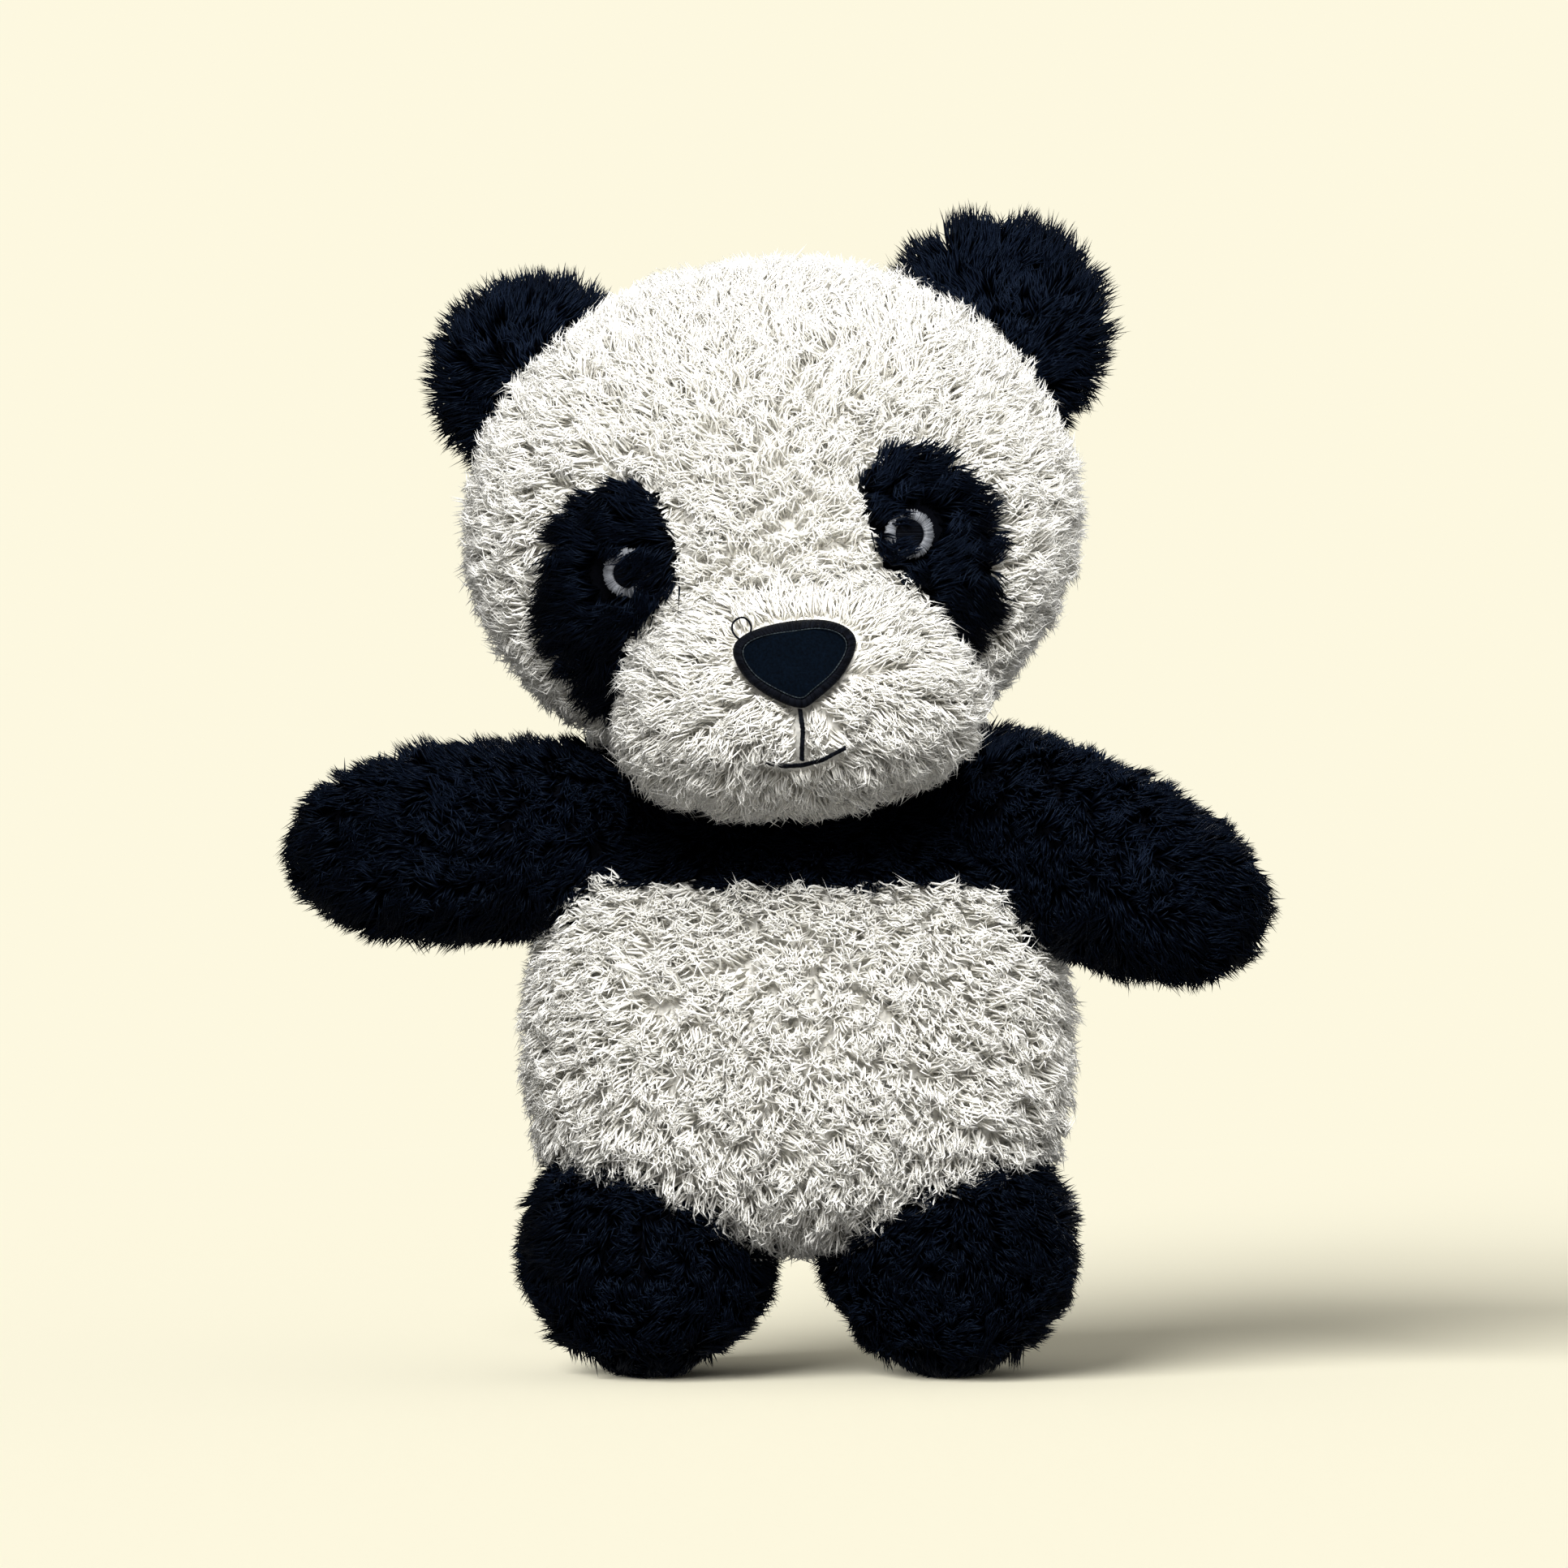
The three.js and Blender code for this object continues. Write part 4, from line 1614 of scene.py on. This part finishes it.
    def _eye(self, side: Side, rng: np.random.Generator) -> None:
        """Sews a ring of grey satin strands round a pupil of black ones.

        Args:
            side: which eye.
            rng: the seeded generator.
        """
        centre, stand = self.eye_centre(side), self.eye_stand
        inner, outer = self.eye_ring
        relief = Relief(self.surface, centre - 9 * MM, centre + 9 * MM, 3)
        pairs = []
        for angle in np.linspace(0, 2 * math.pi, 104, endpoint=False):
            way = np.array((math.cos(angle), math.sin(angle)))
            reach = outer * rng.uniform(0.96, 1.04)
            pairs.append((centre + way * inner, centre + way * reach, stand, stand))
        thick = self.strand * 1.1
        ring = self._strands(side.of("eye_threads"), relief, pairs, thick, 0.45 * MM, rng)
        self._ready(ring, Finish.GREY_THREAD, side.of("eye_ring"))
        pairs = []
        radius = inner * 1.02
        for rise in np.arange(-radius + 0.15 * MM, radius, self.strand * 0.9):
            half = np.array((math.sqrt(max(radius**2 - rise**2, 0)), 0))
            level = centre + np.array((0, rise))
            pairs.append((level - half, level + half, stand, stand))
        thick = self.strand * 1.3
        pupil = self._strands(side.of("pupil_threads"), relief, pairs, thick, 0.35 * MM, rng)
        self._ready(pupil, Finish.BLACK_THREAD, side.of("pupil"))


# ----------------------------------------------------------------------- parts


def base_matrix() -> Matrix:
    """From the toy's own millimetres, on the floor under its neck, to the row frame."""
    neck = joint_place("neck_turn")
    return Matrix.Translation((neck.x, neck.y, 0)) @ Matrix.Scale(MM, 4)


@dataclass
class Part:
    """One stuffed part: its form first, then the coat that grows on it."""

    locks: dict[Lock, LockShape]
    form: bpy.types.Object | None = None

    def surface(self) -> Surface:
        """The form's surface."""
        return Surface(self.form)


@dataclass
class Head(Part):
    """The stuffed head with its muzzle, its pile and its embroidered face."""

    skull: Rounded = Rounded((0, 0, 62), 73, 58, 56, 62, 65, 2.1, narrow=0.24)
    muzzle: Rounded = Rounded((2, -46, 14), 42, 38, 30, 33, 20, 2)
    density: float = 1.3
    back_density: float = 1.0

    def shape(self) -> None:
        """Makes the head's form."""
        matrix = HeadFrame().matrix()
        self.form = StuffedForm(
            "head_form", ((self.skull, matrix), (self.muzzle, matrix)),
            ("head_filling", "muzzle_filling"), Finish.WHITE_BACKING,
        ).build()

    def dress(self, others: tuple[Surface, ...]) -> None:
        """Makes the face and the coat, and fixes the head to its body.

        Args:
            others: the surfaces that hide parts of it.
        """
        surface, head = self.surface(), HeadFrame()
        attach(self.form, "head")
        face = Face(surface, head, StitchShape())
        face.build()
        matrix = head.matrix()
        brow = matrix @ Vector((1, -62, 40))
        nose = matrix @ Vector((2, -84, 24))
        crown = face.parted(away_from(brow, (0, 0.1, 0.05)))
        back = away_from(matrix @ Vector((0, 30, 135)), (0, 0, -0.5))
        from_nose = face.parted(away_from(nose, (0, 0, -0.3)))
        from_brow = face.parted(away_from(brow, (0, 0, -0.35)))
        white, fine, wavy = Finish.WHITE_PILE, self.locks[Lock.FINE], self.locks[Lock.WAVY]
        front_pile = Pile(
            white, self.density, 8.2 * MM, 0.68 * MM, crown, wavy,
            rise=(74, 30), wander=55, curl=0.4, trim=face.trim_white,
        )
        back_pile = Pile(
            white, self.back_density, 8.6 * MM, 0.9 * MM, back, fine,
            rise=(74, 30), wander=48, curl=0.45,
        )
        muzzle = Pile(
            white, 1.42, 9.2 * MM, 0.68 * MM, from_nose, wavy,
            rise=(70, 22), gather=0.42, tuft=4 * MM, wander=36, curl=0.4, trim=face.trim_white,
        )
        patch = Pile(
            Finish.BLACK_PILE, 2.1, 8.6 * MM, 0.68 * MM, from_brow, fine,
            rise=(76, 22), gather=0.5, tuft=4 * MM, wander=48, curl=0.35, trim=face.trim,
        )
        piles = {
            "face_panel_left": front_pile, "face_panel_right": front_pile,
            "head_back_left": back_pile, "head_back_right": back_pile,
            "muzzle_shell": muzzle, "left_eye_patch": patch, "right_eye_patch": patch,
        }
        Coat(
            surface, Hold("head"), piles, seed=11, hidden_by=others, bare=face.bare,
            overlays=tuple(side.of("eye_patch") for side in Side),
        ).grow()
        self._black_patches()

    def _black_patches(self) -> None:
        """Gives the cloth under the eye patches its black backing."""
        trees = [node_tree(side.of("eye_patch")) for side in Side]
        two_backings(self.form, lambda at, out: any(under(tree, at, out) for tree in trees))


@dataclass
class Ear(Part):
    """A flat ear of two panels in long shaggy pile."""

    side: Side = Side.LEFT
    at: tuple[float, float] = (60, 104)
    radius: float = 25.5
    seed: int = 31

    def shape(self) -> None:
        """Makes the ear's form, its root inside the head."""
        disc = Rounded((self.at[0], 4, self.at[1]), self.radius, 8, 8, self.radius, self.radius, 2.2)
        self.form = StuffedForm(
            self.side.of("ear_form"), ((disc, HeadFrame().matrix()),), (), Finish.BLACK_BACKING,
            under_pile=2.6, puff=0.8, voxel=2.2 * MM, fill=0.4,
        ).build()

    def dress(self, others: tuple[Surface, ...]) -> None:
        """Grows the ear's coat and bakes the ear's placement into its mesh.

        Args:
            others: the surfaces that hide parts of it.
        """
        surface = self.surface()
        base = joint_place(self.side.of("ear_fold"))
        low, high = surface.co.min(0), surface.co.max(0)
        out = (Vector((low + high) / 2) - base).normalized()
        hold = Hold(self.side.of("ear"), "head", base - out * 4 * MM, base + out * 7 * MM)
        pile = Pile(
            Finish.BLACK_PILE, 1.9, 9.8 * MM, 0.75 * MM, away_from(base, (0, 0, 0.1)),
            self.locks[Lock.FINE], rise=(66, 34), gather=0.5, wander=32, curl=0.4, tuft=3.6 * MM,
        )
        piles = {self.side.of("ear_front"): pile, self.side.of("ear_back"): pile}
        Coat(surface, hold, piles, self.seed, others, reach=3 * MM).grow()
        hold.fix(self.form)


@dataclass
class Torso(Part):
    """The stuffed trunk: a black chest band above a white belly."""

    trunk: Rounded = Rounded((0, 0, 82), 65, 47, 45, 64, 50, 2.3, low=3.0)

    def shape(self) -> None:
        """Makes the trunk's form."""
        self.form = StuffedForm(
            "torso_form", ((self.trunk, base_matrix()),), ("torso_filling",), Finish.WHITE_BACKING,
        ).build()

    def dress(self, others: tuple[Surface, ...]) -> None:
        """Grows the trunk's coat.

        Args:
            others: the surfaces that hide parts of it.
        """
        surface = self.surface()
        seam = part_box("chest_front")[0].z
        two_backings(self.form, lambda at, _out: at.z > seam)
        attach(self.form, "torso")
        middle = joint_place("neck_turn")
        flow = away_from(Vector((middle.x, middle.y, 0.1)), (0, 0, -0.45))
        fine, wavy = self.locks[Lock.FINE], self.locks[Lock.WAVY]
        white = Pile(
            Finish.WHITE_PILE, 0.9, 8.4 * MM, 0.8 * MM, flow, wavy,
            rise=(72, 28), gather=0.45, wander=55, curl=0.5,
        )
        rear = Pile(
            Finish.WHITE_PILE, 1.0, 8.6 * MM, 0.9 * MM, flow, fine,
            rise=(74, 30), wander=48, curl=0.45,
        )
        black = Pile(Finish.BLACK_PILE, 1.5, 7.0 * MM, 0.8 * MM, towards((0, 0, -1)), fine)
        piles = {
            "chest_front": black, "chest_back_left": black, "chest_back_right": black,
            "belly_front": white, "belly_back_left": rear, "belly_back_right": rear,
        }
        Coat(surface, Hold("torso"), piles, seed=23, hidden_by=others).grow()


@dataclass
class Neck(Part):
    """The short stuffed neck between the chest and the head."""

    ball: Rounded = Rounded((0, 0, 148), 19, 19, 19, 19, 19, 2)

    def shape(self) -> None:
        """Makes the neck's form."""
        self.form = StuffedForm(
            "neck_form", ((self.ball, base_matrix()),), ("neck_filling",), Finish.BLACK_BACKING,
            under_pile=0.5, puff=0.8, fill=0.9,
        ).build()

    def dress(self, others: tuple[Surface, ...]) -> None:
        """Fixes the neck to its body."""
        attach(self.form, "neck")


@dataclass
class Arm(Part):
    """A stuffed arm sewn from a front and a back panel.

    It hangs by droop degrees from level, and comes forward by forward degrees.
    """

    side: Side = Side.LEFT
    shoulder: tuple[float, float, float] = (44, 0, 138)
    droop: float = 26
    forward: float = 25
    seed: int = 41
    limb: Rounded = Rounded((0, 0, 30), 23, 21, 21, 51, 56, 2.35)

    def matrix(self) -> Matrix:
        """From the arm's millimetres, Z from the shoulder to the paw, to the row frame."""
        droop, forward = math.radians(self.droop), math.radians(self.forward)
        run = Vector((
            self.side.sign * math.cos(droop) * math.cos(forward), -math.sin(forward),
            -math.sin(droop) * math.cos(forward),
        ))
        rise = (Vector((0, 0, 1)) - run * run.z).normalized()
        turn = Matrix((rise, run.cross(rise).normalized(), run)).transposed().to_4x4()
        return base_matrix() @ Matrix.Translation(self.shoulder) @ turn

    def shape(self) -> None:
        """Makes the arm's form, its root inside the chest."""
        self.form = StuffedForm(
            self.side.of("arm_form"), ((self.limb, self.matrix()),),
            (self.side.of("arm_filling"),), Finish.BLACK_BACKING,
        ).build()

    def dress(self, others: tuple[Surface, ...]) -> None:
        """Grows the arm's coat and bakes the arm's placement into its mesh.

        Args:
            others: the surfaces that hide parts of it.
        """
        surface = self.surface()
        name = self.side.of("arm")
        shoulder = joint_place(name + "_lift")
        out = (self.matrix().to_3x3() @ Vector((0, 0, 1))).normalized()
        hold = Hold(name, "torso", shoulder - out * 4 * MM, shoulder + out * 16 * MM)
        pile = Pile(
            Finish.BLACK_PILE, 1.35, 8.0 * MM, 0.82 * MM, away_from(shoulder, (0, 0, -0.3)),
            self.locks[Lock.FINE], gather=0.5, tuft=4 * MM, wander=55, curl=0.45,
        )
        piles = {name + "_front": pile, name + "_back": pile}
        Coat(surface, hold, piles, self.seed, others).grow()
        hold.fix(self.form)


@dataclass
class Leg(Part):
    """A stuffed leg: outer and inner panels on a flat sole."""

    side: Side = Side.LEFT
    seed: int = 51

    def shape(self) -> None:
        """Makes the leg's form, its top inside the belly."""
        limb = Rounded((self.side.sign * 37, -6, 30), 30, 34, 28, 33, 34, 2.0, narrow=0.45)
        self.form = StuffedForm(
            self.side.of("leg_form"), ((limb, base_matrix()),), (self.side.of("leg_filling"),),
            Finish.BLACK_BACKING, floor=2.2 * MM,
        ).build()

    def dress(self, others: tuple[Surface, ...]) -> None:
        """Grows the leg's coat and bakes the leg's placement into its mesh.

        Args:
            others: the surfaces that hide parts of it.
        """
        surface = self.surface()
        name = self.side.of("leg")
        hip = joint_place(name + "_swing")
        hold = Hold(name, "torso", hip + Vector((0, 0, 10 * MM)), hip - Vector((0, 0, 12 * MM)))
        fine = self.locks[Lock.FINE]
        pile = Pile(
            Finish.BLACK_PILE, 1.35, 8.0 * MM, 0.82 * MM, outwards(hip, 0.016, 0.05), fine,
            gather=0.5, tuft=4 * MM, wander=55, curl=0.45,
        )
        sole = Pile(Finish.BLACK_PILE, 0.9, 4.6 * MM, 0.9 * MM, away_from(hip), fine, rise=(60, 5))
        piles = {name + "_outer": pile, name + "_inner": pile, name + "_sole": sole}
        Coat(surface, hold, piles, self.seed, others).grow()
        hold.fix(self.form)


@dataclass
class Panda:
    """The whole toy: its parts, shaped first and then dressed."""

    locks: dict[Lock, LockShape]

    def build(self) -> None:
        """Makes every form, sews the limbs to the trunk, and grows the coats."""
        torso, neck, head = Torso(self.locks), Neck(self.locks), Head(self.locks)
        ears = [
            Ear(self.locks, side=Side.LEFT, at=(60, 104), radius=25.5, seed=31),
            Ear(self.locks, side=Side.RIGHT, at=(-54.5, 104.5), radius=22.5, seed=32),
        ]
        arms = [
            Arm(self.locks, side=Side.LEFT, shoulder=(44, 0, 139), droop=23, forward=27, seed=41),
            Arm(self.locks, side=Side.RIGHT, shoulder=(-44, 0, 133), droop=3, forward=4, seed=42),
        ]
        legs = [Leg(self.locks, side=Side.LEFT, seed=51), Leg(self.locks, side=Side.RIGHT, seed=52)]
        for part in (torso, neck, head, *ears, *arms, *legs):
            part.shape()
        for limb in (*arms, *legs):
            fit_against(limb.form, torso.form)
        for ear in ears:
            fit_against(ear.form, head.form)
        fit_against(neck.form, torso.form)
        fit_against(neck.form, head.form)
        trunk, skull = torso.surface(), head.surface()
        limbs = tuple(limb.surface() for limb in (*arms, *legs))
        torso.dress((*limbs, neck.surface()))
        neck.dress(())
        head.dress(tuple(ear.surface() for ear in ears) + (neck.surface(),))
        for ear in ears:
            ear.dress((skull,))
        for limb in (*arms, *legs):
            limb.dress((trunk, skull))


# ---------------------------------------------------------------------- studio


@dataclass(frozen=True)
class Lamp:
    """A square soft light: where it hangs, its size in metres and its power in watts."""

    name: str
    place: tuple[float, float, float]
    size: float
    power: float


@dataclass
class Studio:
    """A pale sweep, soft lights and the camera.

    Span is how wide a stretch the camera sees at the toy, in metres. The floor has its own
    sun, for the toy's shadow, and glows by itself from glow_from to glow_full metres away.
    """

    span: float = 0.3864
    lens: float = 200
    sensor: float = 36
    elevation: float = 1.2
    target: tuple[float, float, float] = (0.0029, 0.005, 0.1458)
    cream: Colour = (0.985, 0.939, 0.745)
    dome: float = 6
    glow_from: float = 0.45
    glow_full: float = 0.9
    sun_from: tuple[float, float, float] = (-0.5, -0.66, 0.44)
    sun_power: float = 4.72
    sun_spread: float = 44
    lamps: tuple[Lamp, ...] = (
        Lamp("front", (0.02, -1.05, 0.95), 0.7, 42), Lamp("back", (0.35, 1.3, 0.75), 1.2, 20),
    )
    lit_place: tuple[float, float, float] = (0, 0, 0.14)
    room: Colour = (1.0, 0.99, 0.965)
    room_power: float = 0.3
    floor: bpy.types.Object | None = None

    def build(self) -> None:
        """Sets up the floor, the lights, the surroundings and the camera."""
        self._sweep()
        self._camera()
        self._sun()
        for lamp in self.lamps:
            self._light(lamp)
        world = bpy.data.worlds.new("room")
        bpy.context.scene.world = world
        world.use_nodes = True
        sky = world.node_tree.nodes["Background"]
        sky.inputs["Color"].default_value = (*self.room, 1)
        sky.inputs["Strength"].default_value = self.room_power
        bpy.context.scene.view_settings.view_transform = "Standard"
        log.info("studio: floor, camera, sun and %d lamps", len(self.lamps))

    def _sweep(self) -> None:
        """A level floor that runs up into a dome round the toy, seen but lighting nothing."""
        deselect()
        bpy.ops.mesh.primitive_uv_sphere_add(segments=128, ring_count=96, radius=self.dome)
        floor = bpy.context.active_object
        for vert in floor.data.vertices:
            vert.co.z = max(vert.co.z, -0.2 * MM)
        bpy.ops.object.shade_smooth()
        floor.name = "floor"
        floor.data.materials.append(self._paper())
        floor.visible_diffuse = floor.visible_glossy = floor.visible_shadow = False
        self.floor = floor

    def _paper(self) -> bpy.types.Material:
        """Cream paper that glows evenly where it is well away from the toy."""
        nodes = Nodes("paper")
        flat = nodes.add("VectorMath", Vector=nodes.place())
        flat.operation = "LENGTH"
        far = nodes.add("MapRange", Value=flat.outputs["Value"])
        far.inputs["From Min"].default_value = self.glow_from
        far.inputs["From Max"].default_value = self.glow_full
        glow = far.outputs["Result"]
        black = (0.0, 0.0, 0.0)
        grain = nodes.spread(nodes.noise(300, 4), 0.99, 1.0)
        near = nodes.ramp(glow, [(0, self.cream), (1, black)])
        nodes.put(nodes.shader, "Base Color", nodes.times(near, grain))
        nodes.put(nodes.shader, "Emission Color", nodes.ramp(glow, [(0, black), (1, self.cream)]))
        return nodes.finish(Roughness=1.0, Specular_IOR_Level=0.0, Emission_Strength=1.0)

    def _camera(self) -> None:
        """A long lens, level with the toy and square to its face."""
        data = bpy.data.cameras.new("camera")
        data.lens, data.sensor_width = self.lens, self.sensor
        camera = linked("camera", data)
        tilt = math.radians(self.elevation)
        back = Vector((0, -math.cos(tilt), math.sin(tilt)))
        camera.location = Vector(self.target) + back * (self.span * self.lens / self.sensor)
        self._aim(camera, -back)
        bpy.context.scene.camera = camera

    def _aim(self, obj: bpy.types.Object, way: Vector) -> None:
        """Turns a camera or a light to face a way."""
        obj.rotation_euler = way.to_track_quat("-Z", "Y").to_euler()

    def _sun(self) -> None:
        """A wide soft light on the floor alone, that casts the toy's shadow there."""
        data = bpy.data.lights.new("key", "SUN")
        data.energy, data.angle = self.sun_power, math.radians(self.sun_spread)
        light = linked("key", data)
        self._aim(light, -Vector(self.sun_from))
        self._on_floor(light, True)

    def _on_floor(self, light: bpy.types.Object, alone: bool) -> None:
        """Sets what a light falls on.

        Args:
            light: the light.
            alone: whether it falls on the floor alone, or on everything but the floor.
        """
        lit = bpy.data.collections.new(light.name + " falls on")
        lit.objects.link(self.floor)
        light.light_linking.receiver_collection = lit
        lit.collection_objects[0].light_linking.link_state = "INCLUDE" if alone else "EXCLUDE"

    def _light(self, lamp: Lamp) -> None:
        """Hangs a lamp, aimed at the toy.

        Args:
            lamp: the lamp.
        """
        data = bpy.data.lights.new(lamp.name, "AREA")
        data.shape, data.size, data.energy = "SQUARE", lamp.size, lamp.power
        light = linked(lamp.name, data)
        light.location = lamp.place
        self._aim(light, Vector(self.lit_place) - Vector(lamp.place))
        self._on_floor(light, False)


def main() -> None:
    """Builds the toy piece by piece, then the studio round it."""
    logging.basicConfig(level=logging.INFO, format="%(message)s")
    Panda({kind: LockShape(kind) for kind in Lock}).build()
    Studio().build()


if __name__ == "__main__":
    main()
